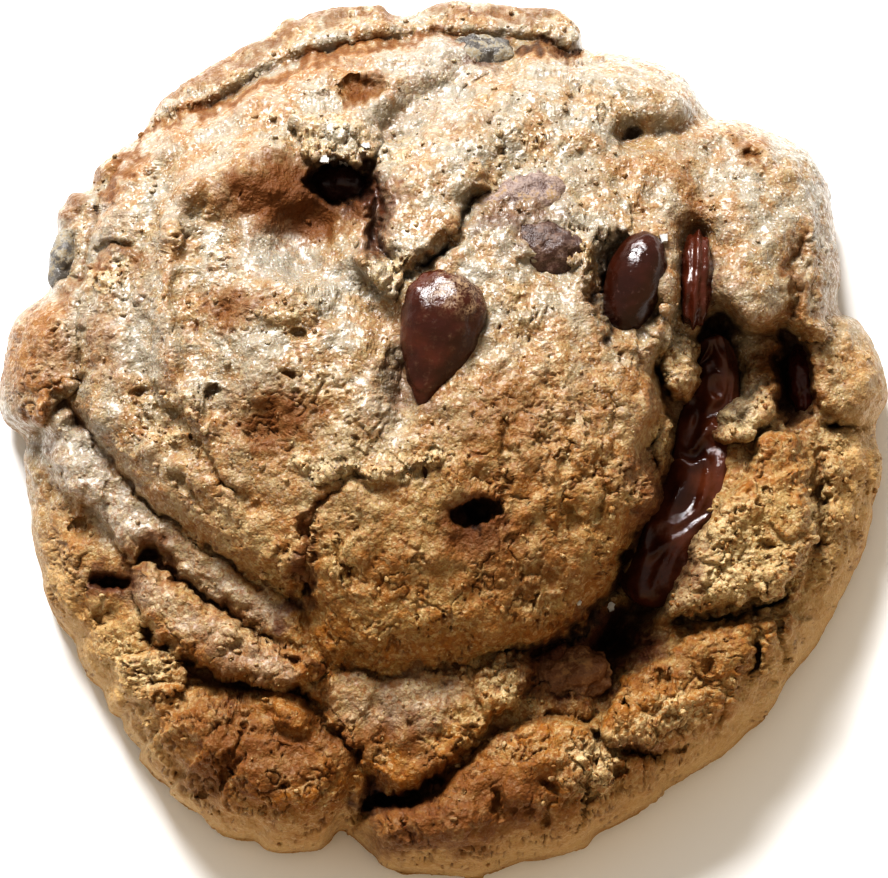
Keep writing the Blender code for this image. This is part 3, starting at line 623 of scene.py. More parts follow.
CROWN_FORMS = (
    # The bulges of the crown
    Mound((47.0, 14.0), (12.0, 5.0), 1.6, 32.0),
    Mound((24.0, 17.2), (7.6, 4.6), 2.8, 22.0),
    Mound((31.0, 23.4), (7.0, 4.4), -3.4, 24.0),
    Mound((26.0, 35.0), (8.0, 9.0), 1.4, 0.0),
    Mound((27.8, 30.0), (6.0, 3.0), 1.4, -10.0),
    Mound((26.6, 42.6), (3.6, 2.8), -0.9),
    Mound((52.0, 46.0), (11.0, 14.0), 0.8, 20.0),
    Mound((64.4, 8.6), (6.6, 4.0), 1.8, -14.0),
    Mound((77.0, 20.0), (7.4, 8.0), 1.4, 0.0),
    Mound((75.6, 28.4), (4.8, 5.4), 1.6, 0.0),
    Mound((56.0, 12.6), (6.0, 4.0), 0.9, 0.0),
    # The fold that runs down the left shoulder, and the lower band outside it
    Groove(((18.8, 18.4), (17.2, 22.6), (16.4, 27.5), (16.5, 32.3), (17.3, 37.6), (19.6, 43.0)), 1.5, -2.0),
    Groove(((16.6, 17.6), (14.6, 23.4), (13.6, 28.6), (13.8, 33.6), (15.0, 39.0), (17.6, 44.6)), 1.8, 1.4),
    # The lobes' valleys at the back right
    Groove(((58.4, 5.0), (60.6, 8.0), (63.0, 11.4), (62.6, 14.6)), 1.3, 1.2),
    Groove(((71.2, 11.6), (68.6, 12.8), (65.0, 13.6), (62.4, 13.6)), 1.2, 1.8),
    Groove(((79.8, 24.4), (79.1, 29.2), (79.5, 31.4)), 0.6, 1.6),
    Groove(((71.0, 16.0), (70.0, 20.0), (69.8, 24.0)), 2.2, 1.0),
    Groove(((50.4, 42.0), (50.8, 46.0), (50.2, 50.0)), 0.5, 0.7),
    Groove(((57.0, 42.6), (56.6, 48.0), (57.2, 53.0)), 0.5, 0.7),
    Groove(((61.4, 40.0), (60.6, 46.0), (60.0, 52.0)), 0.6, 0.8),
    Groove(((65.6, 42.0), (66.0, 45.8)), 0.4, 2.2),
    Mound((75.4, 15.4), (1.5, 1.0), -1.4, 0.0, 1.0),
    Mound((62.9, 13.3), (0.8, 0.6), -1.6, 0.0, 0.8),
    # Torn crumb over the hole at the back left, and the flake beside the middle chip
    Plate(((29.3, 12.6), (32.0, 11.3), (35.6, 11.0), (38.1, 12.6), (37.6, 15.4), (36.4, 16.2), (34.6, 16.2),
           (33.0, 17.0), (31.4, 16.4), (29.8, 15.2)), 1.5, 1.3),
    Plate(((37.8, 20.6), (38.2, 18.2), (41.0, 16.2), (44.6, 15.2), (48.0, 16.4), (49.0, 18.6), (47.4, 21.4),
           (45.4, 24.2), (42.6, 26.2), (39.8, 27.2), (38.4, 24.6)), 1.5, 1.8),
    Plate(((35.4, 25.6), (37.4, 25.0), (39.8, 26.4), (40.0, 28.6), (38.8, 29.8), (37.6, 28.4), (36.0, 28.0)),
          1.8, 0.5),
    Mound((36.0, 8.8), (2.8, 1.5), -1.7, 0.0, 1.0),
    Groove(((38.4, 14.4), (42.2, 13.0), (44.5, 11.0), (46.4, 9.4), (48.7, 8.1), (51.0, 7.4)), 0.8, 1.4),
    Groove(((50.6, 5.2), (47.4, 6.6), (45.0, 8.4), (41.6, 10.6), (39.0, 13.0)), 2.0, 2.8),
    Groove(((31.0, 27.0), (36.6, 29.4), (39.6, 35.0), (40.0, 42.0)), 2.0, 1.8),
    Groove(((36.8, 16.4), (37.6, 20.0), (37.4, 23.6), (39.4, 27.2)), 0.9, 3.0),
    Groove(((40.6, 27.6), (43.6, 25.8), (45.6, 23.4), (47.0, 20.6), (48.0, 19.4)), 0.8, 3.2),
    # The torn edge across the front of the crown, its crack and the wrinkles at its left
    Groove(((29.8, 46.2), (31.6, 47.4), (34.6, 46.6), (37.0, 47.6), (40.0, 46.6), (44.1, 45.6)), 0.62, -0.8),
    Groove(((31.6, 48.6), (34.6, 48.0), (37.2, 49.0), (40.4, 47.9), (43.6, 46.9)), 0.5, 0.6),
    Groove(((34.2, 48.6), (32.4, 50.6), (31.4, 52.9), (31.0, 55.8), (30.9, 58.6), (30.4, 61.8)), 0.5, 1.1),
    Mound((30.6, 53.2), (1.1, 1.6), -1.6, 0.0, 0.9),
    Mound((30.5, 58.4), (1.3, 1.2), -1.8, 0.0, 0.9),
    Groove(((30.5, 58.3), (29.2, 60.4), (28.3, 62.8)), 0.5, 1.2),
    Groove(((17.8, 41.2), (20.6, 45.3), (21.9, 47.8), (25.1, 50.7)), 0.6, 1.1),
    Groove(((13.6, 40.0), (15.6, 44.6), (18.4, 48.6), (22.4, 52.6)), 0.7, 0.8),
    Mound((35.9, 47.8), (1.0, 0.5), -1.4, 0.0, 0.8),
    Mound((43.3, 45.3), (0.8, 0.6), -1.2, 0.0, 0.8),
    Mound((48.4, 51.0), (1.7, 1.2), -4.6, -6.0, 0.7),
    Mound((46.6, 51.6), (1.3, 1.3), -3.0, 0.0, 0.7),
    Mound((46.4, 52.6), (3.4, 4.6), -0.8),
    Mound((33.9, 18.3), (3.6, 2.3), -6.4, -8.0, 0.6),
    Mound((20.9, 39.3), (1.0, 0.6), -1.2, 0.0, 0.8),
    Mound((14.1, 39.4), (1.1, 0.7), -1.2, 0.0, 0.8),
    Mound((28.8, 37.6), (1.1, 0.6), -1.0, 0.0, 0.8),
    Mound((29.4, 33.4), (0.9, 0.6), -1.0, 0.0, 0.8),
    # The hollows of the strip, the step in the left edge and the chips' hollows
    Groove(((69.6, 23.8), (69.5, 27.0), (69.3, 31.0), (70.0, 34.0)), 1.5, 3.6),
    Groove(((13.0, 25.0), (10.8, 24.6), (9.1, 26.0), (7.7, 28.1)), 0.6, 1.8),
    Mound((62.2, 28.8), (3.7, 6.3), -4.4, 14.0, 0.7),
    Mound((41.0, 37.6), (3.0, 4.4), -1.8, 0.0, 1.0),
    Mound((55.0, 26.6), (3.2, 1.3), -1.8, -10.0, 1.0),
)

STAINS = {
    # Chocolate that has soaked into the dough round the chips, and painted shade in the hollows and creases,
    # in one dark brown
    Tint.SMEAR: (
        Stain((41.4, 36.6), (3.2, 5.0), 0.55),
        Stain((62.0, 29.4), (2.7, 5.4), 0.55, 17.0),
        Stain((69.9, 29.0), (1.7, 5.6), 0.6),
        Stain((72.0, 36.6), (2.2, 3.8), 0.6),
        Stain((70.4, 41.4), (2.4, 3.2), 0.6),
        Stain((66.6, 53.0), (3.2, 8.6), 0.7, 20.0),
        Stain((61.6, 64.0), (4.6, 3.6), 0.9),
        Stain((79.4, 38.2), (2.0, 4.8), 0.75),
        Stain((35.0, 18.6), (4.6, 3.0), 0.9),
        Stain((37.2, 22.4), (1.6, 4.0), 0.7),
        Stain((52.0, 21.6), (5.0, 3.4), 0.5),
        Stain((47.6, 52.4), (3.4, 3.6), 0.7),
        Stain((48.4, 5.6), (2.2, 1.4), 0.6),
        Stain((56.6, 67.2), (4.6, 3.2), 0.9),
        Stain((40.6, 73.0), (3.0, 2.6), 0.45),
        Stain((11.4, 58.2), (3.0, 2.2), 0.9),
        Stain((24.6, 69.6), (3.6, 1.2), 0.3),
        Stain((39.8, 80.2), (4.2, 1.8), 0.9),
        Streak(((17.0, 56.6), (22.2, 60.8), (28.6, 64.8), (33.0, 67.6)), 0.4, 0.3),
        Streak(((32.6, 50.6), (30.9, 53.0), (30.6, 58.3), (28.6, 62.4)), 1.0, 0.6),
    ),
    # Greyish folds and patches: partly the dough's own greyer tone, partly painted shade on the band outside
    # the left shoulder and at the back, and painted reflection on the shiny valley and round the back chip
    Tint.GREY: (
        Stain((8.0, 45.6), (3.0, 4.6), 0.9, 30.0),
        Stain((11.6, 51.0), (2.6, 3.6), 0.8, 30.0),
        Streak(((14.0, 52.6), (19.0, 56.0), (23.0, 59.4), (28.0, 61.6)), 1.9, 0.6),
        Streak(((14.6, 58.6), (18.0, 61.6), (23.0, 64.6), (28.0, 66.6)), 1.8, 0.5),
        Streak(((17.4, 16.0), (15.2, 21.4), (14.2, 27.0), (14.2, 32.6), (15.4, 38.4)), 1.5, 0.2),
        Stain((38.6, 22.0), (1.6, 3.4), 0.4),
        Stain((43.4, 8.6), (3.6, 3.4), 1.0),
        Stain((46.4, 5.8), (4.4, 2.4), 0.9),
        Stain((27.4, 24.8), (3.8, 2.8), 1.0),
        Stain((33.0, 27.8), (4.6, 2.2), 0.7),
        Stain((38.6, 40.0), (3.0, 4.4), 0.5),
        Stain((12.6, 33.0), (3.4, 6.0), 0.28),
        Stain((5.8, 25.4), (1.6, 4.0), 0.8),
        Stain((40.0, 70.0), (7.0, 3.0), 0.5),
        Stain((40.0, 12.6), (4.4, 3.2), 0.6),
    ),
    # Exposed crumb
    Tint.PALE: (
        Streak(((7.6, 22.0), (9.2, 18.8), (11.3, 15.7), (14.4, 12.6), (20.2, 9.3), (27.4, 5.7), (36.4, 3.1),
                (44.0, 2.2), (50.0, 2.0), (56.0, 3.2)), 1.2, 0.16),
        Stain((33.6, 14.6), (3.8, 2.8), 0.7),
        Stain((28.6, 30.2), (4.4, 2.2), 0.4),
        Stain((38.4, 27.0), (2.6, 2.2), 0.8),
        Stain((10.4, 27.4), (2.0, 1.2), 0.8),
        Stain((39.6, 15.0), (1.8, 1.4), 0.7),
        Stain((52.0, 15.6), (8.0, 6.0), 0.25),
        Stain((71.6, 55.6), (4.2, 4.6), 0.85, -30.0),
        Stain((76.4, 58.0), (3.0, 2.6), 0.5),
        Stain((68.6, 60.2), (2.4, 1.8), 0.8),
        Stain((74.4, 41.8), (3.8, 2.4), 0.8),
        Stain((68.4, 36.0), (1.8, 3.4), 0.6),
        Stain((14.6, 74.4), (1.6, 2.0), 0.6),
        Stain((18.6, 79.6), (2.6, 1.4), 0.5, -30.0),
        Stain((10.8, 65.4), (2.0, 3.0), 0.4),
        Stain((58.8, 77.2), (3.4, 2.2), 0.5, -40.0),
        Stain((66.6, 72.2), (5.6, 2.6), 0.5, 25.0),
        Stain((51.6, 69.4), (2.0, 1.4), 0.5),
        Stain((66.4, 44.4), (1.6, 3.0), 0.6),
        Stain((50.0, 67.8), (3.2, 2.2), 0.65),
        Streak(((29.8, 46.2), (31.6, 47.4), (34.6, 46.6), (37.0, 47.6), (40.0, 46.6), (44.1, 45.6)),
               0.8, 0.9),
        Stain((23.8, 63.8), (2.6, 1.4), 0.5),
        Stain((15.0, 67.4), (3.0, 2.8), 0.6),
        Stain((60.2, 75.4), (2.6, 3.0), 0.5),
        Stain((16.8, 42.0), (3.6, 4.0), 0.4),
        # These two lighten the right rim: partly its own paler crumb, partly painted light where the rim lies
        # in shade
        Stain((83.6, 46.0), (3.6, 7.0), 0.35),
        Stain((80.6, 54.0), (3.4, 4.6), 0.32, -20.0),
    ),
    # Browned crust, with painted shade on the side of the bump at the back left and in the crease inside the
    # back lip
    Tint.BROWN: (
        # Painted shade: brown on the side of the bump at the back left that is turned from the light
        Stain((28.0, 20.4), (4.6, 3.4), 0.9, 10.0),
        Stain((31.4, 21.4), (3.6, 2.2), 0.7, 10.0),
        # Painted shade: brown in the crease inside the back lip
        Streak(((9.9, 20.6), (12.4, 17.2), (15.0, 14.2), (18.1, 12.4), (21.2, 11.4), (26.0, 8.3), (31.1, 6.3),
                (36.5, 4.9), (42.6, 4.3), (50.7, 4.5), (57.8, 6.0)), 0.9, 0.9),
        Stain((22.0, 30.0), (4.0, 3.0), 0.7),
        Stain((27.0, 42.0), (5.0, 4.0), 0.8),
        Stain((35.6, 8.8), (3.0, 1.6), 0.8),
        Stain((75.2, 15.0), (2.6, 2.4), 0.9),
        Stain((73.4, 25.6), (3.0, 4.0), 0.6),
        Stain((3.6, 35.0), (4.4, 7.0), 1.0),
        Stain((77.6, 47.6), (3.4, 3.0), 0.35),
        Stain((68.0, 70.0), (10.0, 6.0), 0.5, 25.0),
        Stain((52.0, 79.0), (12.0, 6.0), 0.8),
        Stain((24.0, 76.0), (9.0, 6.0), 0.8),
        Stain((44.0, 60.0), (16.0, 7.0), 0.5),
        Stain((29.6, 71.6), (2.6, 2.0), 0.7),
        Stain((6.0, 56.0), (3.0, 8.0), 0.6),
        Stain((66.0, 18.0), (6.0, 5.0), 0.4),
        Stain((53.6, 44.0), (9.6, 10.0), 0.6),
        Stain((36.0, 80.0), (30.0, 11.0), 0.7),
        Stain((26.0, 66.0), (12.0, 6.0), 0.6),
        Stain((20.0, 46.0), (9.0, 6.0), 0.35, -40.0),
        Stain((22.0, 14.0), (8.0, 4.0), 0.3, 30.0),
        Stain((30.0, 9.0), (8.0, 2.4), 0.3, 20.0),
    ),
    # Painted shade: a deep reddish brown in hollows and creases and on slopes turned from the light, which in
    # places also stands for deeply browned crust
    Tint.SHADE: (
        Stain((3.6, 36.0), (4.0, 6.6), 0.35),
        Stain((49.6, 42.0), (5.6, 6.4), 0.38),
        Stain((26.4, 18.8), (5.6, 3.8), 0.95, 20.0),
        Stain((30.9, 21.4), (5.2, 3.3), 1.0, -10.0),
        Stain((27.0, 75.6), (8.0, 4.6), 0.66),
        Stain((20.0, 71.6), (6.0, 3.0), 0.4),
        Stain((48.0, 80.4), (11.0, 4.6), 0.66, 15.0),
        Stain((40.0, 84.0), (5.0, 2.4), 0.5),
        Stain((69.4, 65.8), (7.6, 2.8), 0.38, 15.0),
        Stain((51.0, 56.0), (11.0, 8.0), 0.40),
        Stain((27.0, 43.0), (5.0, 3.4), 0.45),
        Stain((22.6, 31.0), (4.4, 2.4), 0.35, 20.0),
        Stain((47.4, 12.0), (4.0, 1.6), 0.35, 30.0),
        Stain((60.0, 17.6), (4.0, 2.0), 0.25),
        Stain((70.0, 20.0), (2.6, 3.4), 0.3),
        Stain((10.6, 34.0), (2.0, 5.6), 0.4),
        Stain((13.8, 28.0), (1.6, 4.0), 0.35),
        Stain((40.0, 20.0), (3.0, 3.6), 0.3),
        Stain((37.0, 56.0), (6.0, 7.0), 0.22),
        Stain((13.6, 56.4), (5.0, 3.6), 0.35),
        Stain((31.6, 40.6), (4.6, 3.0), 0.25),
        Stain((35.8, 8.8), (2.8, 1.4), 0.8),
        Stain((26.4, 29.8), (4.4, 1.4), 0.4, 10.0),
        Stain((22.4, 32.0), (3.0, 1.6), 0.45),
        Stain((27.6, 42.4), (3.4, 2.4), 0.6, 10.0),
        Stain((75.4, 15.2), (1.7, 1.3), 0.8),
        Stain((73.4, 13.2), (1.4, 1.0), 0.5),
        Stain((18.4, 24.6), (1.2, 5.0), 0.3),
        Streak(((9.9, 20.6), (12.4, 17.2), (15.0, 14.2), (18.1, 12.3), (21.2, 11.2), (23.6, 9.8), (26.0, 8.1),
                (28.5, 6.9), (31.1, 6.0), (36.5, 4.7), (42.6, 4.1), (50.7, 4.3), (57.8, 5.9)), 0.5, 0.75),
        Streak(((6.4, 30.6), (8.2, 27.6), (10.8, 25.4), (13.0, 25.8)), 0.7, 0.6),
        Streak(((8.4, 42.4), (13.6, 49.6), (17.6, 52.9), (22.0, 56.1), (28.2, 59.6)), 0.4, 0.3),
        Streak(((17.0, 56.6), (22.2, 60.8), (28.6, 64.8), (33.0, 67.6)), 0.8, 0.4),
        Streak(((15.5, 64.0), (19.0, 66.8), (25.4, 69.2), (30.2, 70.4), (35.9, 75.6)), 0.9, 0.45),
        Streak(((31.0, 66.4), (38.0, 67.7), (46.1, 67.2), (52.0, 66.4)), 0.7, 0.4),
        Streak(((44.0, 78.0), (46.4, 76.2), (50.0, 73.6), (54.8, 71.8)), 0.9, 0.5),
        Streak(((34.2, 48.6), (32.4, 50.6), (31.4, 52.9), (31.0, 58.6)), 0.8, 0.5),
        Streak(((66.8, 16.0), (68.6, 20.0), (68.8, 24.0)), 1.0, 0.35),
        Streak(((79.6, 23.0), (79.2, 27.0), (79.4, 31.0)), 1.0, 0.6),
        Stain((36.0, 73.6), (3.2, 3.2), 0.5, 30.0),
        Stain((42.0, 75.6), (3.6, 1.8), 0.5, -40.0),
        Stain((21.6, 64.8), (5.4, 2.2), 0.45, -30.0),
        Stain((15.6, 54.6), (2.4, 1.2), 0.6, -30.0),
        Stain((77.4, 36.0), (2.0, 4.0), 0.6),
        Stain((47.0, 54.4), (3.4, 3.0), 0.3),
        Stain((64.0, 74.6), (3.2, 1.2), 0.6, -8.0),
        Stain((19.4, 77.8), (3.4, 1.8), 0.4, -30.0),
        Streak(((5.6, 22.0), (8.6, 18.0), (13.0, 12.6), (20.0, 7.6), (27.0, 4.4), (31.4, 1.6), (44.0, 1.0),
                (56.0, 1.6)), 0.9, 0.62),
        Stain((40.4, 12.0), (4.0, 2.4), 0.3, 30.0),
    ),
    # Deep shade in crevices
    Tint.DARK: (
        Streak(((34.0, 67.0), (42.0, 67.2), (50.9, 65.7)), 0.3, 0.25),
        Streak(((50.9, 65.7), (56.4, 64.4), (60.0, 62.0)), 0.6, 0.9),
        Streak(((60.0, 62.0), (63.0, 57.0), (66.4, 50.0)), 0.7, 0.6),
        Streak(((64.6, 60.4), (62.4, 62.6), (60.6, 65.0)), 0.8, 0.65),
        Stain((79.1, 37.4), (1.3, 3.8), 0.6),
        Stain((34.0, 18.6), (3.6, 2.2), 1.0),
        Stain((47.9, 51.2), (1.8, 1.1), 1.0),
        Stain((11.0, 58.2), (1.4, 0.8), 0.8),
        Stain((38.8, 80.2), (3.0, 1.0), 1.0),
        Streak(((42.0, 79.2), (46.4, 76.2), (50.0, 73.6)), 0.4, 0.15),
        Streak(((67.4, 62.2), (74.4, 61.4), (78.4, 59.8)), 0.5, 0.8),
        Streak(((52.8, 4.5), (55.0, 4.8), (57.4, 5.6)), 0.5, 0.7),
        Streak(((61.0, 27.0), (60.4, 30.0), (61.2, 33.2)), 0.7, 0.9),
        Streak(((71.2, 30.4), (70.8, 32.6), (71.8, 34.4)), 0.8, 0.9),
        Streak(((68.6, 42.0), (67.2, 46.0), (67.0, 50.0), (64.6, 54.0)), 0.7, 0.45),
        Stain((74.0, 40.6), (2.2, 1.2), 0.6, 30.0),
    ),
}


class Relief:
    """The height and the colouring of the dough's top at any place."""

    def __init__(self) -> None:
        """Set up the noise."""
        self.noise = Noise(NOISE_SEED)
        self.grains = Grains(GRAIN_SEED)

    def ragged(self, places: np.ndarray) -> np.ndarray:
        """The places moved about a little, so that edges read through them come out torn.

        Args:
            places: places in the plan, one a row.

        Returns:
            The moved places.
        """
        shift = [0.55 * self.noise(places + 100 * k, 3.4) + 0.46 * self.noise(places + 200 * k, 1.5)
                 + 0.30 * self.noise(places + 300 * k, 0.65) for k in (1, 2)]
        return places + np.column_stack(shift)

    def form(self, form: "Mound | Groove | Plate", places: np.ndarray) -> np.ndarray:
        """What one mound, groove or plate adds to the height at each place.

        Args:
            form: the form.
            places: places in the plan, one a row.

        Returns:
            Heights in millimetres, which can be negative.
        """
        added = np.zeros(len(places))
        if isinstance(form, Plate):
            chosen = near(places, form.outline, 2.0)
            depth = Curves.inside(places[chosen], form.outline)
            added[chosen] = form.rise * rounded_step(depth, form.edge)
        elif isinstance(form, Groove):
            chosen = near(places, form.along, 3 * form.width)
            spots = places[chosen]
            distance = Curves.distance(spots, Curves.smooth(form.along, False), False)
            width, depth = form.width, form.depth
            if form.width < FINE_GROOVE:
                width = width * np.clip(0.85 + 0.7 * self.noise(spots + 410.0, 2.2), 0.35, 1.7)
                depth = depth * np.clip(0.75 + 0.8 * self.noise(spots + 510.0, 3.6), 0.15, 1.3)
            added[chosen] = -depth * np.exp(-((distance / width) ** 2))
        else:
            squared = oval(places, form.at, form.half, form.turn)
            added = form.rise * np.clip(1.0 - squared, 0.0, 1.0) ** form.power
        return added

    def heights(self, places: np.ndarray, from_edge: np.ndarray, angle: np.ndarray) -> np.ndarray:
        """The height of the dough's top, without its crumb.

        Args:
            places: the places, one a row.
            from_edge: how far each is inside the outline.
            angle: the direction of each from the middle.

        Returns:
            Heights in millimetres.
        """
        torn = self.ragged(places)
        skirt = SKIRT_LEVEL + SKIRT_RISE * np.clip(from_edge / SKIRT_RISE_RUN, 0.0, 1.0)
        for form in SKIRT_FORMS:
            skirt = skirt + self.form(form, torn if is_sharp(form) else places)
        inside = Curves.inside(places + 0.45 * (torn - places), CROWN)
        crown = self.dome(places, inside)
        for form in CROWN_FORMS:
            crown = crown + self.form(form, torn if is_sharp(form) else places)
        top = skirt + np.maximum(crown - skirt, 0.0) * rounded_step(inside, CROWN_ROUND)
        level = EDGE_LEVEL + EDGE_BACK_LIFT * np.sin(angle)
        backward = np.clip(0.5 + np.sin(angle), 0.0, 1.0)
        width = EDGE_ROUND_FRONT + (EDGE_ROUND_BACK - EDGE_ROUND_FRONT) * backward
        return level + np.maximum(top - level, 0.0) * rounded_step(from_edge, width)

    def dome(self, places: np.ndarray, inside: np.ndarray) -> np.ndarray:
        """The height of the crown: a dome that falls away from its highest place to a lower shoulder.

        Args:
            places: places in the plan, one a row.
            inside: how far each is inside the crown's outline.

        Returns:
            Heights in millimetres.
        """
        x, y = (places - np.array(CROWN_MIDDLE)).T
        reach = np.where(y < 0.0, CROWN_REACH_BACK, CROWN_REACH_FRONT)
        dome = CROWN_TOP - CROWN_FALL * ((x / CROWN_REACH_SIDE) ** 2 + (y / reach) ** 2)
        return dome - CROWN_SHOULDER * (1.0 - np.clip(inside / CROWN_SHOULDER_RUN, 0.0, 1.0)) ** 2

    def cover(self, patch: "Stain | Streak", places: np.ndarray) -> np.ndarray:
        """How strongly one patch of colour shows at each place.

        Args:
            patch: the stain or streak.
            places: places in the plan, one a row.

        Returns:
            One value of 0 to 1 a place.
        """
        if isinstance(patch, Stain):
            return patch.amount * np.exp(-(oval(places, patch.at, patch.half, patch.turn) ** 1.5))
        amount = np.zeros(len(places))
        chosen = near(places, patch.along, 3 * patch.width)
        path = Curves.smooth(patch.along, False)
        distance = Curves.distance(places[chosen], path, False)
        amount[chosen] = patch.amount * np.exp(-((distance / patch.width) ** 2))
        return amount

    def tints(self, places: np.ndarray) -> dict:
        """How strongly each tint shows at each place.

        Args:
            places: places in the plan, one a row.

        Returns:
            One array of 0 to 1 for each tint.
        """
        torn = places + 2.2 * (self.ragged(places) - places)
        found = {tint: np.zeros(len(places)) for tint in Tint}
        for tint, patches in STAINS.items():
            for patch in patches:
                found[tint] = 1.0 - (1.0 - found[tint]) * (1.0 - self.cover(patch, torn))
        return found


class Value:
    """A number that flows through a shader, with the signs of arithmetic."""

    def __init__(self, shader: "Nodes", socket: bpy.types.NodeSocket) -> None:
        """Wrap a socket."""
        self.shader = shader
        self.socket = socket

    def __add__(self, other: "Value | float") -> "Value":
        """The sum."""
        return self.shader.math("ADD", self, other)

    def __sub__(self, other: "Value | float") -> "Value":
        """The difference."""
        return self.shader.math("SUBTRACT", self, other)

    def __mul__(self, other: "Value | float") -> "Value":
        """The product."""
        return self.shader.math("MULTIPLY", self, other)

    def __rsub__(self, other: "Value | float") -> "Value":
        """The difference, the other way round."""
        return self.shader.math("SUBTRACT", other, self)

    __radd__ = __add__
    __rmul__ = __mul__

    def clamp(self) -> "Value":
        """The value held between 0 and 1."""
        return self.shader.math("MULTIPLY", self, 1.0, use_clamp=True)

    def between(self, low: float, high: float) -> "Value":
        """0 below low and 1 above high, with a smooth rise between them.

        Args:
            low: where the rise starts.
            high: where it ends.

        Returns:
            The new value.
        """
        node = self.shader.node("ShaderNodeMapRange", {"interpolation_type": "SMOOTHSTEP"},
                                {"Value": self, "From Min": low, "From Max": high})
        return Value(self.shader, node.outputs["Result"])


class Nodes:
    """A node tree that is filled by one method a kind of work."""

    def __init__(self, tree: bpy.types.NodeTree) -> None:
        """Take the tree."""
        self.tree = tree

    def node(self, kind: str, settings: dict = None, values: dict = None) -> bpy.types.Node:
        """A node of a kind, with its settings made and its sockets set or linked.

        Args:
            kind: the node's type.
            settings: its own settings by name.
            values: values by socket.

        Returns:
            The node.
        """
        made = self.tree.nodes.new(kind)
        for name, value in (settings or {}).items():
            setattr(made, name, value)
        for name, value in (values or {}).items():
            self.feed(made.inputs[name], value)
        return made

    def feed(self, socket: bpy.types.NodeSocket, value: object) -> None:
        """Set a socket to a constant, or link it to a value or another socket.

        Args:
            socket: the socket.
            value: the constant, value or socket.
        """
        if isinstance(value, Value):
            self.tree.links.new(value.socket, socket)
        elif isinstance(value, bpy.types.NodeSocket):
            self.tree.links.new(value, socket)
        else:
            socket.default_value = value

    def math(self, operation: str, *values: object, use_clamp: bool = False) -> Value:
        """A Math node's result.

        Args:
            operation: what it does.
            values: what it works on.
            use_clamp: whether the result is held in 0 to 1.

        Returns:
            The result.
        """
        made = self.node("ShaderNodeMath", {"operation": operation, "use_clamp": use_clamp})
        for socket, value in zip(made.inputs, values):
            self.feed(socket, value)
        return Value(self, made.outputs["Value"])

    def mix(self, factor: object, first: object, second: object) -> bpy.types.NodeSocket:
        """Two colours mixed; each is a colour or a socket.

        Args:
            factor: the share of the second.
            first: the first colour.
            second: the second colour.

        Returns:
            The mixed colour's socket.
        """
        made = self.node("ShaderNodeMix", {"data_type": "RGBA"})
        self.feed(made.inputs[0], factor)
        self.feed(made.inputs[6], first)
        self.feed(made.inputs[7], second)
        return made.outputs[2]


class Shader(Nodes):
    """A material built from nodes."""

    def __init__(self, name: str) -> None:
        """Make the material, with its Principled shader and its places in millimetres.

        Args:
            name: the material's name.
        """
        self.material = bpy.data.materials.new(name)
        self.material.use_nodes = True
        super().__init__(self.material.node_tree)
        self.surface = self.tree.nodes["Principled BSDF"]
        coordinates = self.node("ShaderNodeTexCoord")
        scaled = self.node("ShaderNodeVectorMath", {"operation": "SCALE"},
                           {"Vector": coordinates.outputs["Object"], "Scale": 1.0 / MM})
        self.place = scaled.outputs["Vector"]
        wander = self.node("ShaderNodeTexNoise", {},
                           {"Vector": self.place, "Scale": 1.0 / WANDER_SIZE, "Detail": 2.0})
        shifted = self.node("ShaderNodeVectorMath", {"operation": "MULTIPLY_ADD"},
                            {0: wander.outputs["Color"], 1: (WANDER, WANDER, WANDER), 2: self.place})
        self.bent = shifted.outputs["Vector"]

    def noise(self, size: float, detail: float = 3.0, roughness: float = 0.55, warp: float = 0.0) -> Value:
        """Noise of 0 to 1 whose bumps are size millimetres across.

        Args:
            size: the size of a bump.
            detail: how many finer sizes are added.
            roughness: how strong they are.
            warp: how far the noise is drawn out of place.

        Returns:
            The noise.
        """
        made = self.node("ShaderNodeTexNoise", {},
                         {"Vector": self.place, "Scale": 1.0 / size, "Detail": detail, "Roughness": roughness,
                          "Distortion": warp})
        return Value(self, made.outputs["Fac"])

    def cells(self, size: float) -> Value:
        """The distance from the nearest of scattered points about size millimetres apart."""
        made = self.node("ShaderNodeTexVoronoi", {}, {"Vector": self.bent, "Scale": 1.0 / size})
        return Value(self, made.outputs["Distance"])

    def specks(self, size: float) -> Value:
        """A value of 0 to 1 that is steady inside each of many grains about size millimetres across.

        Args:
            size: the size of a grain.

        Returns:
            The value.
        """
        made = self.node("ShaderNodeTexVoronoi", {}, {"Vector": self.bent, "Scale": 1.0 / size})
        parted = self.node("ShaderNodeSeparateColor", {}, {"Color": made.outputs["Color"]})
        return Value(self, parted.outputs["Red"])

    def carried(self, name: str) -> Value:
        """A value that the mesh carries at its points."""
        made = self.node("ShaderNodeAttribute", {"attribute_type": "GEOMETRY", "attribute_name": name})
        return Value(self, made.outputs["Fac"])

    def bump(self, height: Value, strength: float, distance: float) -> None:
        """Tilt the surface's normals by a height."""
        made = self.node("ShaderNodeBump", {}, {"Height": height, "Strength": strength, "Distance": distance})
        self.feed(self.surface.inputs["Normal"], made.outputs["Normal"])

    def set(self, **values: object) -> None:
        """Set or link the Principled shader's sockets, with _ for a space in their names."""
        for name, value in values.items():
            self.feed(self.surface.inputs[name.replace("_", " ")], value)


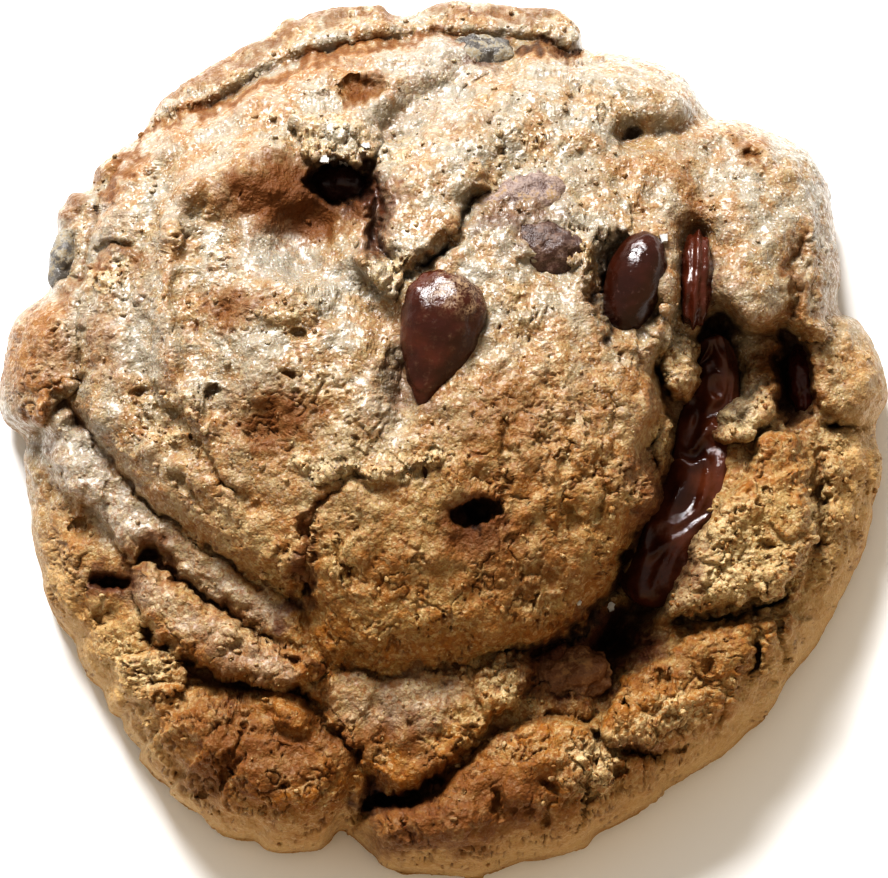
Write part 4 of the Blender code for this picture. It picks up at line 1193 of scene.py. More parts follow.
@dataclass(frozen=True)
class DoughFinish:
    """The baked dough's colours."""

    tan: tuple = (0.270, 0.142, 0.045, 1.0)
    light: tuple = (0.352, 0.248, 0.108, 1.0)
    edge: tuple = (0.43, 0.278, 0.120, 1.0)
    painted_sheen: tuple = (0.262, 0.234, 0.186, 1.0)
    sugar_glint: tuple = (0.80, 0.78, 0.74, 1.0)
    olive: tuple = (0.275, 0.185, 0.070, 1.0)
    brown: tuple = (0.245, 0.098, 0.010, 1.0)
    rust: tuple = (0.185, 0.060, 0.010, 1.0)
    painted_shade_brown: tuple = (0.125, 0.046, 0.010, 1.0)
    deep: tuple = (0.082, 0.024, 0.005, 1.0)
    crumb: tuple = (0.50, 0.395, 0.225, 1.0)
    grey: tuple = (0.315, 0.264, 0.205, 1.0)
    smear_and_shade: tuple = (0.085, 0.026, 0.008, 1.0)
    black: tuple = (0.011, 0.003, 0.001, 1.0)

    def make(self) -> bpy.types.Material:
        """Build the material.

        Returns:
            The material.
        """
        shader = Shader("baked_dough")
        fine = shader.noise(0.22, 3.0, 0.6)
        grit = shader.cells(0.34)
        patches = shader.noise(3.4, 6.0, 0.66)
        drift = shader.noise(5.6, 5.0, 0.66, 0.5)
        spots = shader.noise(1.5, 5.0, 0.68)
        flecks = shader.noise(0.8, 4.0, 0.7)
        speck = shader.specks(0.36)
        own = shader.carried("grain")
        brown = shader.carried(Tint.BROWN.value)
        grey = shader.carried(Tint.GREY.value)
        pale = shader.carried(Tint.PALE.value)
        smear_and_shade = shader.carried(Tint.SMEAR.value)
        dark = shader.carried(Tint.DARK.value)
        shade = shader.carried(Tint.SHADE.value)
        torn = shader.carried("torn")
        sheen = (shader.carried("sheen") * (1.0 - shade * 0.8 - brown * 0.35)).clamp()
        colour = shader.mix((patches.between(0.40, 0.60) * 0.85 + own * 0.15).clamp(), self.tan, self.light)
        colour = shader.mix(drift.between(0.49, 0.58) * 0.75, colour, self.olive)
        colour = shader.mix((brown * 0.85 + (spots - 0.5) * 3.0 + (own - 0.5) * 0.25 + 0.02).clamp(), colour,
                            self.brown)
        colour = shader.mix(flecks.between(0.56, 0.66) * (brown * 0.5 + 0.25), colour, self.rust)
        colour = shader.mix(flecks.between(0.44, 0.34) * 0.35, colour, self.crumb)
        colour = shader.mix((grey * 1.1 + (spots - 0.5) * 1.2).clamp() * grey.between(0.02, 0.3), colour,
                            self.grey)
        bared = (pale + (speck - 0.5) * 0.6 + (flecks - 0.5) * 1.4).clamp()
        colour = shader.mix(bared * pale.between(0.05, 0.4), colour, self.crumb)
        colour = shader.mix(torn * 0.7, colour, self.crumb)
        colour = shader.mix(speck.between(0.62, 1.0) * (1.0 - brown * 0.35).clamp() * 0.5, colour, self.crumb)
        colour = shader.mix(speck.between(0.30, 0.0) * 0.35, colour, self.brown)
        colour = shader.mix(grit.between(0.50, 0.85) * 0.5, colour, self.rust)
        # Lighter tan on the front rim and side wall: partly the rim's own paler crust, partly painted light
        # where it lies in shade
        colour = shader.mix(shader.carried("rim") * (patches.between(0.30, 0.55) * 0.4 + 0.38), colour,
                            self.edge)
        # Painted sheen: crust toward the back, where the light falls, is mixed toward a whiter, greyer tan
        colour = shader.mix((sheen * (patches.between(0.42, 0.58) * 0.60 + 0.25)).clamp(), colour, self.painted_sheen)
        # Painted glints: near-white specks on the crust toward the light
        colour = shader.mix(sheen * shader.specks(0.20).between(0.86, 0.98) * 0.5, colour, self.sugar_glint)
        colour = shader.mix(fine.between(0.60, 0.70) * 0.45, colour, self.deep)
        # Chocolate soaked into the dough, and painted shade in hollows and creases
        colour = shader.mix((smear_and_shade * 1.15 + (spots - 0.5) * 1.6).clamp() * smear_and_shade.between(0.05, 0.4), colour,
                            self.smear_and_shade)
        # Painted shade: a deep reddish brown where the shade tint lies
        colour = shader.mix((shade * 1.1 + (spots - 0.5) * 1.2).clamp() * shade.between(0.05, 0.5), colour,
                            self.painted_shade_brown)
        # Painted shade: hollows, creases and pits darkened toward deep brown
        colour = shader.mix(shader.carried("hollow"), colour, self.deep)
        colour = shader.mix(shader.carried("pit"), colour, self.deep)
        colour = shader.mix((dark + (spots - 0.5) * dark).clamp(), colour, self.black)
        gloss = (sheen * 1.0 + grey * 0.8 + smear_and_shade * 0.1 + (flecks - 0.6) * 0.8).clamp()
        rough = 0.66 - sheen * 0.16 - speck.between(0.6, 0.95) * 0.14 + (fine - 0.5) * 0.2
        shader.set(Base_Color=colour, Roughness=rough.clamp(),
                   Coat_Weight=(gloss * speck.between(0.1, 0.7)).clamp())
        shader.surface.inputs["Specular IOR Level"].default_value = 0.30
        shader.surface.inputs["Coat Roughness"].default_value = 0.36
        shader.surface.inputs["Subsurface Weight"].default_value = 0.15
        shader.surface.inputs["Subsurface Radius"].default_value = (1.0, 0.45, 0.18)
        shader.surface.inputs["Subsurface Scale"].default_value = 0.0007
        shader.bump(fine * 0.6 - grit * 0.8 + flecks * 0.7, 0.8, 0.00016)
        return shader.material


@dataclass(frozen=True)
class ChocolateFinish:
    """Dark chocolate, glossy where bare and dull where crumb or bloom lies on it."""

    name: str
    body: tuple = (0.034, 0.0075, 0.004, 1.0)
    sheen: tuple = (0.060, 0.015, 0.008, 1.0)
    dust: tuple = (0.24, 0.145, 0.125, 1.0)
    dusted: float = 0.12
    roughness: float = 0.20
    wobble: float = 0.0004
    smeared: float = 0.0
    crust: tuple = (0.34, 0.19, 0.080, 1.0)
    dust_at: tuple = None
    dust_reach: float = 4.0

    def make(self) -> bpy.types.Material:
        """Build the material.

        Returns:
            The material.
        """
        shader = Shader(self.name)
        broad = shader.noise(4.0, 3.0, 0.5)
        patches = shader.noise(1.1, 5.0, 0.7)
        grain = shader.noise(0.24, 3.0, 0.6)
        colour = shader.mix(broad.between(0.40, 0.66), self.body, self.sheen)
        dust = ((patches - 0.62 + self.dusted * 0.5) * 5.0).clamp() * (grain.between(0.40, 0.60) * 0.7 + 0.3)
        dust = (dust * min(1.0, 0.35 + self.dusted)).clamp()
        if self.dust_at:
            away = shader.node("ShaderNodeVectorMath", {"operation": "DISTANCE"},
                               {0: shader.place, 1: self.dust_at})
            close = Value(shader, away.outputs["Value"]).between(self.dust_reach, 0.4 * self.dust_reach)
            dust = (dust * 0.4 + close * (patches - 0.40) * 3.0 * grain.between(0.35, 0.55)).clamp()
        colour = shader.mix(dust, colour, self.dust)
        cover = (shader.noise(2.2, 5.0, 0.72) + (self.smeared - 1.0) * 0.30).between(0.46, 0.54)
        if self.smeared:
            colour = shader.mix(cover, colour, shader.mix(grain.between(0.4, 0.6), self.crust, self.dust))
        rough = self.roughness + dust * 0.5 + (patches - 0.5) * 0.25 + cover * 0.5
        shader.set(Base_Color=colour, Roughness=rough.clamp())
        shader.surface.inputs["Specular IOR Level"].default_value = 0.5
        shader.bump(broad * 1.5 + patches * (0.4 + self.dusted) + grain * self.dusted, 0.5, self.wobble)
        return shader.material


@dataclass(frozen=True)
class SugarFinish:
    """Clear sugar, slightly clouded."""

    clear: tuple = (0.70, 0.69, 0.68, 1.0)
    cloud: tuple = (0.80, 0.78, 0.74, 1.0)

    def make(self) -> bpy.types.Material:
        """Build the material.

        Returns:
            The material.
        """
        shader = Shader("sugar_glint")
        clouding = shader.noise(0.5, 3.0)
        shader.set(Base_Color=shader.mix(clouding.between(0.4, 0.6), self.clear, self.cloud),
                   Roughness=(clouding * 0.4).clamp())
        shader.surface.inputs["Transmission Weight"].default_value = 0.45
        shader.surface.inputs["IOR"].default_value = 1.45
        return shader.material


def mesh_object(name: str, points: np.ndarray, faces: list, material: bpy.types.Material,
                carried: dict = None,
                normals: np.ndarray = None) -> bpy.types.Object:
    """A smooth mesh object at the origin from points in millimetres.

    Args:
        name: the object's name.
        points: points in millimetres.
        faces: index arrays, each with faces of one size as rows.
        material: its material.
        carried: values by name that its points carry.
        normals: one normal a point, or None.

    Returns:
        The object.
    """
    mesh = bpy.data.meshes.new(name)
    corners = np.concatenate([part.ravel() for part in faces]).astype(np.int32)
    sizes = np.concatenate([np.full(len(part), part.shape[1]) for part in faces])
    starts = np.concatenate([[0], np.cumsum(sizes)[:-1]]).astype(np.int32)
    mesh.vertices.add(len(points))
    mesh.vertices.foreach_set("co", (points * MM).astype(np.float32).ravel())
    mesh.loops.add(len(corners))
    mesh.loops.foreach_set("vertex_index", corners)
    mesh.polygons.add(len(sizes))
    mesh.polygons.foreach_set("loop_start", starts)
    mesh.update(calc_edges=True)
    mesh.validate()
    mesh.shade_smooth()
    for title, values in (carried or {}).items():
        made = mesh.attributes.new(title, "FLOAT", "POINT")
        made.data.foreach_set("value", values.astype(np.float32))
    if normals is not None:
        mesh.normals_split_custom_set_from_vertices(normals.tolist())
    mesh.materials.append(material)
    obj = bpy.data.objects.new(name, mesh)
    bpy.context.scene.collection.objects.link(obj)
    return obj


def point_normals(points: np.ndarray, faces: list) -> np.ndarray:
    """The average normal at each point.

    Args:
        points: the points.
        faces: index arrays, each with faces of one size as rows.

    Returns:
        Unit normals, one a row.
    """
    total = np.zeros_like(points)
    for part in faces:
        if part.shape[1] == 4:
            normal = np.cross(points[part[:, 2]] - points[part[:, 0]],
                              points[part[:, 3]] - points[part[:, 1]])
        else:
            normal = np.cross(points[part[:, 1]] - points[part[:, 0]],
                              points[part[:, 2]] - points[part[:, 0]])
        for corner in part.T:
            np.add.at(total, corner, normal)
    length = np.linalg.norm(total, axis=1)
    return total / np.where(length == 0, 1.0, length)[:, None]


@dataclass(frozen=True)
class Surface:
    """Points of a surface with their normals and what they carry."""

    points: np.ndarray
    normals: np.ndarray
    carried: dict


@dataclass
class Dough:
    """The body of the cookie: its relief on a disc-shaped grid, its side wall and its flat foot."""

    finish: DoughFinish = field(default_factory=DoughFinish)
    relief: Relief = field(default_factory=Relief)
    surface: Surface = None
    material: bpy.types.Material = None

    def disc(self) -> tuple:
        """Radius shares and angles of a square grid of points wrapped onto a disc.

        Returns:
            The shares and the angles.
        """
        steps = np.linspace(-1.0, 1.0, GRID + 1)
        a, b = (side.ravel() for side in np.meshgrid(steps, steps, indexing="ij"))
        wide = np.abs(a) > np.abs(b)
        share = np.where(wide, np.abs(a), np.abs(b))
        safe_a, safe_b = np.where(a == 0, 1.0, a), np.where(b == 0, 1.0, b)
        angle = np.where(wide, math.pi / 4 * b / safe_a, math.pi / 2 - math.pi / 4 * a / safe_b)
        angle = np.where(wide, np.where(a < 0, angle + math.pi, angle),
                         np.where(b < 0, angle + math.pi, angle))
        angle = np.where(share == 0, 0.0, angle)
        return share, np.arctan2(np.sin(angle), np.cos(angle))

    def radius(self, angle: np.ndarray) -> np.ndarray:
        """The outline's distance from the middle at each angle.

        Args:
            angle: the angles.

        Returns:
            One distance an angle.
        """
        path = Curves.smooth(OUTLINE, True)
        x = path[:, 0] - PLAN_WIDTH / 2
        y = PLAN_LENGTH / 2 - path[:, 1]
        angles = np.arctan2(y, x)
        order = np.argsort(angles)
        return np.interp(angle, angles[order], np.hypot(x, y)[order], period=2 * math.pi)

    def blurred(self, values: np.ndarray, reach: int) -> np.ndarray:
        """Grid values averaged over a square of neighbours, twice.

        Args:
            values: one value a grid point.
            reach: how many neighbours on each side.

        Returns:
            The averages.
        """
        grid = values.reshape(GRID + 1, GRID + 1)
        for _ in range(2):
            for axis in (0, 1):
                padded = np.pad(grid, [(reach + 1, reach) if k == axis else (0, 0) for k in (0, 1)],
                                mode="edge")
                sums = np.cumsum(padded, axis=axis)
                width = 2 * reach + 1
                high = np.take(sums, np.arange(width, sums.shape[axis]), axis=axis)
                low = np.take(sums, np.arange(0, sums.shape[axis] - width), axis=axis)
                grid = (high - low) / width
        return grid.ravel()

    def shape(self) -> tuple:
        """Points and faces of the whole body, and what each point carries.

        Returns:
            The points, the three sets of faces, the top's heights and places, its border,
            and how far in each lies.
        """
        share, angle = self.disc()
        radius = self.radius(angle)
        middle = np.array([PLAN_WIDTH / 2, PLAN_LENGTH / 2])
        places = middle + (share * radius)[:, None] * np.column_stack([np.cos(angle), -np.sin(angle)])
        heights = self.relief.heights(places, (1.0 - share) * radius, angle)
        top = self.relaxed(seen_at(places, heights))
        places = places_of(top)
        side = GRID + 1
        index = np.arange(side * side).reshape(side, side)
        quads = np.stack([index[:-1, :-1], index[1:, :-1], index[1:, 1:], index[:-1, 1:]],
                         axis=-1).reshape(-1, 4)
        border = np.concatenate([index[:-1, 0], index[-1, :-1], index[:0:-1, -1], index[0, :0:-1]])
        rim = top[border]
        outward = rim[:, :2] - rim[:, :2].mean(axis=0)
        outward /= np.linalg.norm(outward, axis=1)[:, None]
        rings, previous, walls = [top], border, []
        start = len(top)
        for ring in range(1, SIDE_RINGS + 1):
            drop = ring / SIDE_RINGS
            reach = SIDE_BULGE * math.sin(math.pi * drop) * rim[:, 2] / SKIRT_LEVEL - FOOT_INSET * drop**3
            rings.append(np.column_stack([rim[:, :2] + outward * reach[:, None], rim[:, 2] * (1.0 - drop)]))
            current = start + np.arange(len(border))
            walls.append(np.stack([previous, current, np.roll(current, -1), np.roll(previous, -1)], axis=-1))
            previous = current
            start += len(border)
        points = np.vstack(rings + [np.array([[0.0, 0.0, 0.0]])])
        walls = np.concatenate(walls)
        foot = np.stack([previous, np.full(len(previous), start), np.roll(previous, -1)], axis=-1)
        return points, quads, walls, foot, top[:, 2], places, border, (1.0 - share) * radius

    def relaxed(self, top: np.ndarray, rounds: int = 4) -> np.ndarray:
        """The top's points spread evenly over its slopes, without leaving its surface.

        Args:
            top: the top's points in grid order.
            rounds: how often they are moved.

        Returns:
            The moved points.
        """
        grid = top.reshape(GRID + 1, GRID + 1, 3).copy()
        for _ in range(rounds):
            inner = grid[1:-1, 1:-1]
            along = grid[2:, 1:-1] - grid[:-2, 1:-1]
            across = grid[1:-1, 2:] - grid[1:-1, :-2]
            normal = np.cross(along, across)
            normal /= np.linalg.norm(normal, axis=2)[..., None] + 1e-12
            pull = (grid[2:, 1:-1] + grid[:-2, 1:-1] + grid[1:-1, 2:] + grid[1:-1, :-2]) / 4.0 - inner
            pull -= np.einsum("ijk,ijk->ij", pull, normal)[..., None] * normal
            grid[1:-1, 1:-1] = inner + 0.5 * pull
        return grid.reshape(-1, 3)

    def crumb(self, points: np.ndarray, tints: dict) -> tuple:
        """How far each point moves along its normal, how darkly its pits and cracks are painted with shade,
        its grain and how torn it is.

        Args:
            points: points in space.
            tints: how strongly each tint shows at each.

        Returns:
            Those four arrays.
        """
        noise, grains = self.relief.noise, self.relief.grains
        pale = tints[Tint.PALE]
        lumps = 0.42 * noise.layered(points, 4.6, 2)
        warped = points + 0.26 * np.column_stack([noise(points + 7.0 * k, 0.8) for k in (1, 2, 3)])
        near_grain, _, own = grains(warped, 0.50)
        grain = 0.15 * (0.6 - near_grain) + 0.08 * (own - 0.5)
        bent = points + 0.65 * np.column_stack([noise(points + 27.0 * k, 1.9) for k in (1, 2, 3)])
        near_clump, _, clump = grains(bent + 17.0, 2.4)
        near_lump, next_lump, lump = grains(bent + 47.0, 1.15)
        gap = np.clip(1.0 - (next_lump - near_lump) / 0.22, 0.0, 1.0)
        crag = pale * (0.85 * (0.6 - near_clump) + 0.75 * (clump - 0.5)
                       + 0.35 * (0.6 - near_lump) + 0.30 * (lump - 0.5))
        uneven = 0.18 * (0.6 - near_lump) + 0.27 * noise(points + 61.0,
                                                         1.5) + 0.34 * noise(points + 161.0, 2.6)
        crust = noise.layered(points + 211.0, 3.8, 4, 0.56)
        torn = ease(noise(points + 71.0, 6.0) + 0.5 * pale - 0.7 * tints[Tint.GREY], -0.15, 0.55)
        terrace = ease(crust, 0.16, 0.24) + ease(crust, -0.46, -0.38)
        rim = np.exp(-(((crust - 0.30) / 0.07) ** 2)) + np.exp(-(((crust + 0.32) / 0.07) ** 2))
        foot = np.exp(-(((crust - 0.13) / 0.05) ** 2)) + np.exp(-(((crust + 0.49) / 0.05) ** 2))
        gapped = foot * ease(noise(points + 131.0, 1.3), 0.10, 0.40)
        frosted = ease(points[:, :2] @ -SHEEN_ALONG, *FROST_RANGE)
        where = ease(noise(points + 171.0, 4.2) - 0.6 * tints[Tint.GREY], -0.3, 0.6) * (1.0 - 0.75 * frosted)
        web = np.abs(noise.layered(points + 311.0, 2.8, 3, 0.6))
        crackle = ease(web, 0.10, 0.03) * ease(noise(points + 331.0, 4.0), -0.25,
                                               0.2) * CRACKLE * (1.0 - frosted)
        crackle = crackle * ease(points[:, 2], 5.0, 9.0)
        crackle = crackle * np.clip(tints[Tint.BROWN] + tints[Tint.SHADE], 0.0,
                                    1.0) * (1.0 - tints[Tint.GREY])
        pit = ease(noise.layered(points * np.array([1.25, 0.85, 1.0]) + 51.0, 0.85, 2), 0.60, 0.74) * where
        tiny = ease(noise(points + 91.0, 0.45), 0.54, 0.66) * (0.35 + 0.65 * where)
        move = lumps + (0.7 + 0.35 * pale) * grain + uneven + crag
        move = move + torn * (0.27 * (terrace - 1.0) + 0.10 * rim)
        move = move - 0.40 * torn * gapped - 0.40 * pit - 0.18 * tiny - 0.46 * crackle
        # Painted shade in pits, gaps and cracks: how darkly each point is coloured there
        holes = np.clip(0.9 * pit + 0.7 * tiny + 0.15 * gap * pale + 0.8 * torn * gapped + 0.8 * crackle, 0.0,
                        1.0)
        fringe = np.clip(torn * rim * (0.4 + 0.6 * own), 0.0, 1.0)
        return move, holes, own, fringe

    def build(self) -> list:
        """Build the pieces of the body.

        Returns:
            The four quarters.
        """
        points, quads, walls, foot, heights, places, border, from_edge = self.shape()
        all_places = np.vstack([places] + [places[border]] * SIDE_RINGS + [[[PLAN_WIDTH / 2,
                                                                             PLAN_LENGTH / 2]]])
        tints = self.relief.tints(all_places)
        # Painted shade: points lower than the blurred heights round them, in hollows and narrow creases, are
        # coloured darker
        hollow = np.clip((self.blurred(heights, 12) - heights) / 2.4, 0.0, 1.0)
        narrow = np.clip((self.blurred(heights, 4) - heights) / 1.2, 0.0, 1.0)
        high = np.clip((heights - self.blurred(heights, 7)) / 0.9, 0.0, 1.0)
        count = len(heights)
        inner = ease(from_edge, 0.6, 3.5)
        shade = np.clip(0.35 * ease(hollow, 0.3, 1.0) + 0.22 * ease(narrow, 0.35, 1.0), 0.0, 0.6) * inner
        high = high * inner
        tints[Tint.BROWN][:count] = np.clip(tints[Tint.BROWN][:count] + 0.7 * high, 0.0, 1.0)
        tints[Tint.BROWN][count:] = np.maximum(tints[Tint.BROWN][count:], 0.35)
        faces = [quads, walls, foot]
        normals = point_normals(points, faces)
        move, pit, own, fringe = self.crumb(points, tints)
        facing = normals @ EYE_BACK
        move = move * (0.35 + 0.65 * ease(facing, 0.15, 0.6))
        ring = np.concatenate([np.zeros(count), np.repeat(np.arange(1, SIDE_RINGS + 1) / SIDE_RINGS,
                                                          len(border)), [1.0]])
        move = move * np.clip((1.0 - ring) * 5.0, 0.0, 1.0)
        moved = points + normals * move[:, None]
        moved[:, 2] = np.maximum(moved[:, 2], 0.0)
        normals = point_normals(moved, faces)
        carried = {tint.value: tints[tint] for tint in Tint}
        carried["pit"] = pit
        carried["grain"] = own
        carried["torn"] = fringe
        # Where the crust is glossier and carries its painted sheen and painted glints
        carried["sheen"] = ease(all_places @ SHEEN_ALONG, *SHEEN_RANGE)
        carried["hollow"] = np.concatenate([shade, np.zeros(len(points) - count)])
        # Where the front rim and side wall are lightened: partly their own paler crust, partly painted light
        # where they lie in shade
        rim = np.concatenate([ease(from_edge, 5.0, 0.8), np.ones(len(points) - count)]) * (1.0 - 0.5 * ring)
        carried["rim"] = rim * ease(all_places[:, 1] + 0.25 * all_places[:, 0], 44.0, 66.0)
        self.surface = Surface(moved[:count], normals[:count],
                               {name: values[:count] for name, values in carried.items()})
        return self.split(moved, faces, normals, carried)

    def split(self, points: np.ndarray, faces: list, normals: np.ndarray, carried: dict) -> list:
        """The body in four quarters, so that no mesh is too large.

        Args:
            points: all points.
            faces: all faces.
            normals: a normal a point.
            carried: values by name.

        Returns:
            The four objects.
        """
        self.material = self.finish.make()
        pieces = []
        for name, right, back in (("back_left", 0, 1), ("back_right", 1, 1), ("front_left", 0, 0),
                                  ("front_right", 1, 0)):
            chosen = []
            for part in faces:
                middle = points[part].mean(axis=1)
                chosen.append(part[((middle[:, 0] > 0) == bool(right)) & ((middle[:, 1] > 0) == bool(back))])
            used = np.unique(np.concatenate([part.ravel() for part in chosen]))
            place = np.full(len(points), -1)
            place[used] = np.arange(len(used))
            pieces.append(mesh_object("dough_" + name, points[used], [place[part] for part in chosen],
                                      self.material,
                                      {title: values[used] for title, values in carried.items()},
                                      normals[used]))
        return pieces


@dataclass(frozen=True)
class ChocolateChip:
    """A chip: the solid that it stands for, its turn, taper and tilt, its finish and how lumpy it is."""

    node: str
    half: tuple
    turn: float
    finish: ChocolateFinish
    taper: float = 0.0
    tilt: float = 0.0
    lumps: float = 0.10
    ribs: float = 0.0
    sunk: float = 0.0
    rows: int = 56
    columns: int = 84

    def build(self, noise: Noise) -> bpy.types.Object:
        """Build the chip round the middle of its solid.

        Args:
            noise: the noise that makes it lumpy.

        Returns:
            The object.
        """
        low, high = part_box(self.node)
        middle = np.array((low + high) / 2) / MM
        latitude = np.linspace(0.0, math.pi, self.rows + 1)[1:-1]
        around = np.linspace(0.0, 2 * math.pi, self.columns, endpoint=False)
        width = np.sin(latitude) * (1.0 + self.taper * np.cos(latitude))
        rings = np.stack([width[:, None] * np.cos(around), np.cos(latitude)[:, None] + 0.0 * around,
                          width[:, None] * np.sin(around)], axis=-1).reshape(-1, 3)
        unit = np.vstack([[0.0, 1.0, 0.0], rings, [0.0, -1.0, 0.0]])
        points = unit * np.array(self.half)
        own = 40.0 * len(self.node) + 11.0 * self.half[0]
        bulge = 1.0 + self.lumps * noise.layered(points + own, 2.6, 3, 0.6)
        bulge = bulge + self.ribs * np.cos(points[:, 0] * 2 * math.pi / RIB_PITCH + 0.8 * noise(points, 2.0))
        points = points * bulge[:, None]
        tilt, turn = math.radians(self.tilt), math.radians(self.turn)
        lean = np.array([[1, 0, 0], [0, math.cos(tilt), -math.sin(tilt)],
                         [0, math.sin(tilt), math.cos(tilt)]])
        spin = np.array([[math.cos(turn), -math.sin(turn), 0], [math.sin(turn), math.cos(turn), 0],
                         [0, 0, 1]])
        points = points @ (spin @ lean).T
        points += middle - (points.min(axis=0) + points.max(axis=0)) / 2 - np.array([0.0, 0.0, self.sunk])
        count, last = self.columns, len(points) - 1
        k = np.arange(count)
        after = (k + 1) % count
        start = 1 + np.arange(self.rows - 2)[:, None] * count
        quads = np.stack([start + k, start + after, start + count + after, start + count + k],
                         axis=-1).reshape(-1, 4)
        final = 1 + (self.rows - 2) * count
        caps = np.concatenate([np.stack([np.zeros(count, int), 1 + after, 1 + k], axis=-1),
                               np.stack([final + k, final + after, np.full(count, last)], axis=-1)])
        return mesh_object("visual_" + self.node, points, [quads, caps], self.finish.make())


@dataclass(frozen=True)
class LooseCrumbs:
    """Small crumbs of dough that lie scattered over a surface or stand on its torn edges."""

    name: str
    count: int
    smallest: float
    largest: float
    seed: int

    def ball(self) -> tuple:
        """A unit ball's points and faces.

        Returns:
            The points, the faces with four corners and those with three.
        """
        latitude = np.linspace(0.0, math.pi, BALL_ROWS + 2)[1:-1]
        around = np.linspace(0.0, 2 * math.pi, BALL_TURNS, endpoint=False)
        rings = np.stack([np.sin(latitude)[:, None] * np.cos(around),
                          np.sin(latitude)[:, None] * np.sin(around),
                          np.cos(latitude)[:, None] + 0.0 * around], axis=-1).reshape(-1, 3)
        points = np.vstack([[0.0, 0.0, 1.0], rings, [0.0, 0.0, -1.0]])
        k = np.arange(BALL_TURNS)
        after = (k + 1) % BALL_TURNS
        start = 1 + np.arange(BALL_ROWS - 1)[:, None] * BALL_TURNS
        quads = np.stack([start + k, start + BALL_TURNS + k, start + BALL_TURNS + after, start + after],
                         axis=-1).reshape(-1, 4)
        final = 1 + (BALL_ROWS - 1) * BALL_TURNS
        caps = np.concatenate([np.stack([np.zeros(BALL_TURNS, int), 1 + k, 1 + after], axis=-1),
                               np.stack([final + k, np.full(BALL_TURNS, len(points) - 1), final + after],
                                        axis=-1)])
        return points, quads, caps

    def build(self, surface: Surface, weights: np.ndarray, noise: Noise,
              material: bpy.types.Material) -> bpy.types.Object:
        """Scatter the crumbs where the weights are high.

        Args:
            surface: the surface that they lie on.
            weights: how likely each of its points is to carry a crumb.
            noise: the noise that makes each one lumpy.
            material: the dough's material.

        Returns:
            The object.
        """
        rng = np.random.default_rng(self.seed)
        picked = rng.choice(len(weights), self.count, replace=False, p=weights / weights.sum())
        unit, quads, caps = self.ball()
        sizes = self.smallest * (self.largest / self.smallest) ** (rng.random(self.count) ** 2.2)
        stretch = rng.uniform(0.65, 1.25, (self.count, 1, 3))
        shift = rng.uniform(-40.0, 40.0, (self.count, 1, 3))
        lumpy = unit[None] * stretch
        bulge = 1.0 + 0.55 * noise((unit[None] * 1.3 + shift).reshape(-1, 3), 1.0).reshape(self.count, -1)
        middle = surface.points[picked] + surface.normals[picked] * (sizes * rng.uniform(-0.1, 0.5,
                                                                                         self.count))[:, None]
        points = middle[:, None] + lumpy * bulge[..., None] * sizes[:, None, None]
        step = np.arange(self.count)[:, None, None] * len(unit)
        carried = {title: np.repeat(values[picked] * 0.8, len(unit)) for title,
                   values in surface.carried.items()}
        carried[Tint.PALE.value] = np.repeat(np.clip(0.1 + 0.4 * rng.random(self.count), 0, 1), len(unit))
        carried["pit"] = np.zeros(self.count * len(unit))
        carried["hollow"] = np.zeros(self.count * len(unit))
        return mesh_object(self.name, points.reshape(-1, 3), [(quads[None] + step).reshape(-1, 4),
                                                              (caps[None] + step).reshape(-1, 3)],
                                                              material, carried)


@dataclass(frozen=True)
class SugarCrystals:
    """Clear, angular crystals of sugar at given places on the dough."""

    finish: SugarFinish
    places: tuple = (((33.3, 15.7), 0.9), ((34.3, 16.2), 0.8), ((32.4, 16.0), 0.6), ((66.5, 24.0), 0.6),
                     ((61.3, 60.7), 0.75), ((66.8, 57.8), 0.6),
                     ((57.8, 60.3), 0.4), ((36.6, 14.6), 0.5))

    def build(self, surface: Surface) -> bpy.types.Object:
        """Build them as faceted blocks.

        Args:
            surface: the dough's top.

        Returns:
            The object.
        """
        seen = places_of(surface.points)
        block = np.array([[x, y, z] for x in (-1, 1) for y in (-1, 1) for z in (-1, 1)], float)
        rows = [(0, 1, 3, 2), (4, 6, 7, 5), (0, 4, 5, 1), (2, 3, 7, 6), (0, 2, 6, 4), (1, 5, 7, 3)]
        points, faces = [], []
        rng = np.random.default_rng(CRYSTAL_SEED)
        for at, size in self.places:
            spot = np.argmin(np.hypot(*(seen - np.array(at)).T))
            for part in range(3):
                half = size * np.array([0.62, 0.42, 0.40]) * rng.uniform(0.7, 1.1, 3)
                turn = rng.uniform(0.0, math.pi)
                spin = np.array([[math.cos(turn), -math.sin(turn), 0], [math.sin(turn), math.cos(turn), 0],
                                 [0, 0, 1]])
                corners = (block * half * rng.uniform(0.75, 1.1, (8, 3))) @ spin.T
                middle = surface.points[spot] + rng.uniform(-0.5, 0.5, 3) * size * np.array([1.0, 0.4, 0.3])
                faces.append(np.array(rows) + 8 * len(points))
                points.append(corners + middle + np.array([0.0, 0.0, 0.3 * size]))
        made = mesh_object("sugar_crystals", np.vstack(points), [np.vstack(faces)], self.finish.make())
        made.data.shade_flat()
        return made


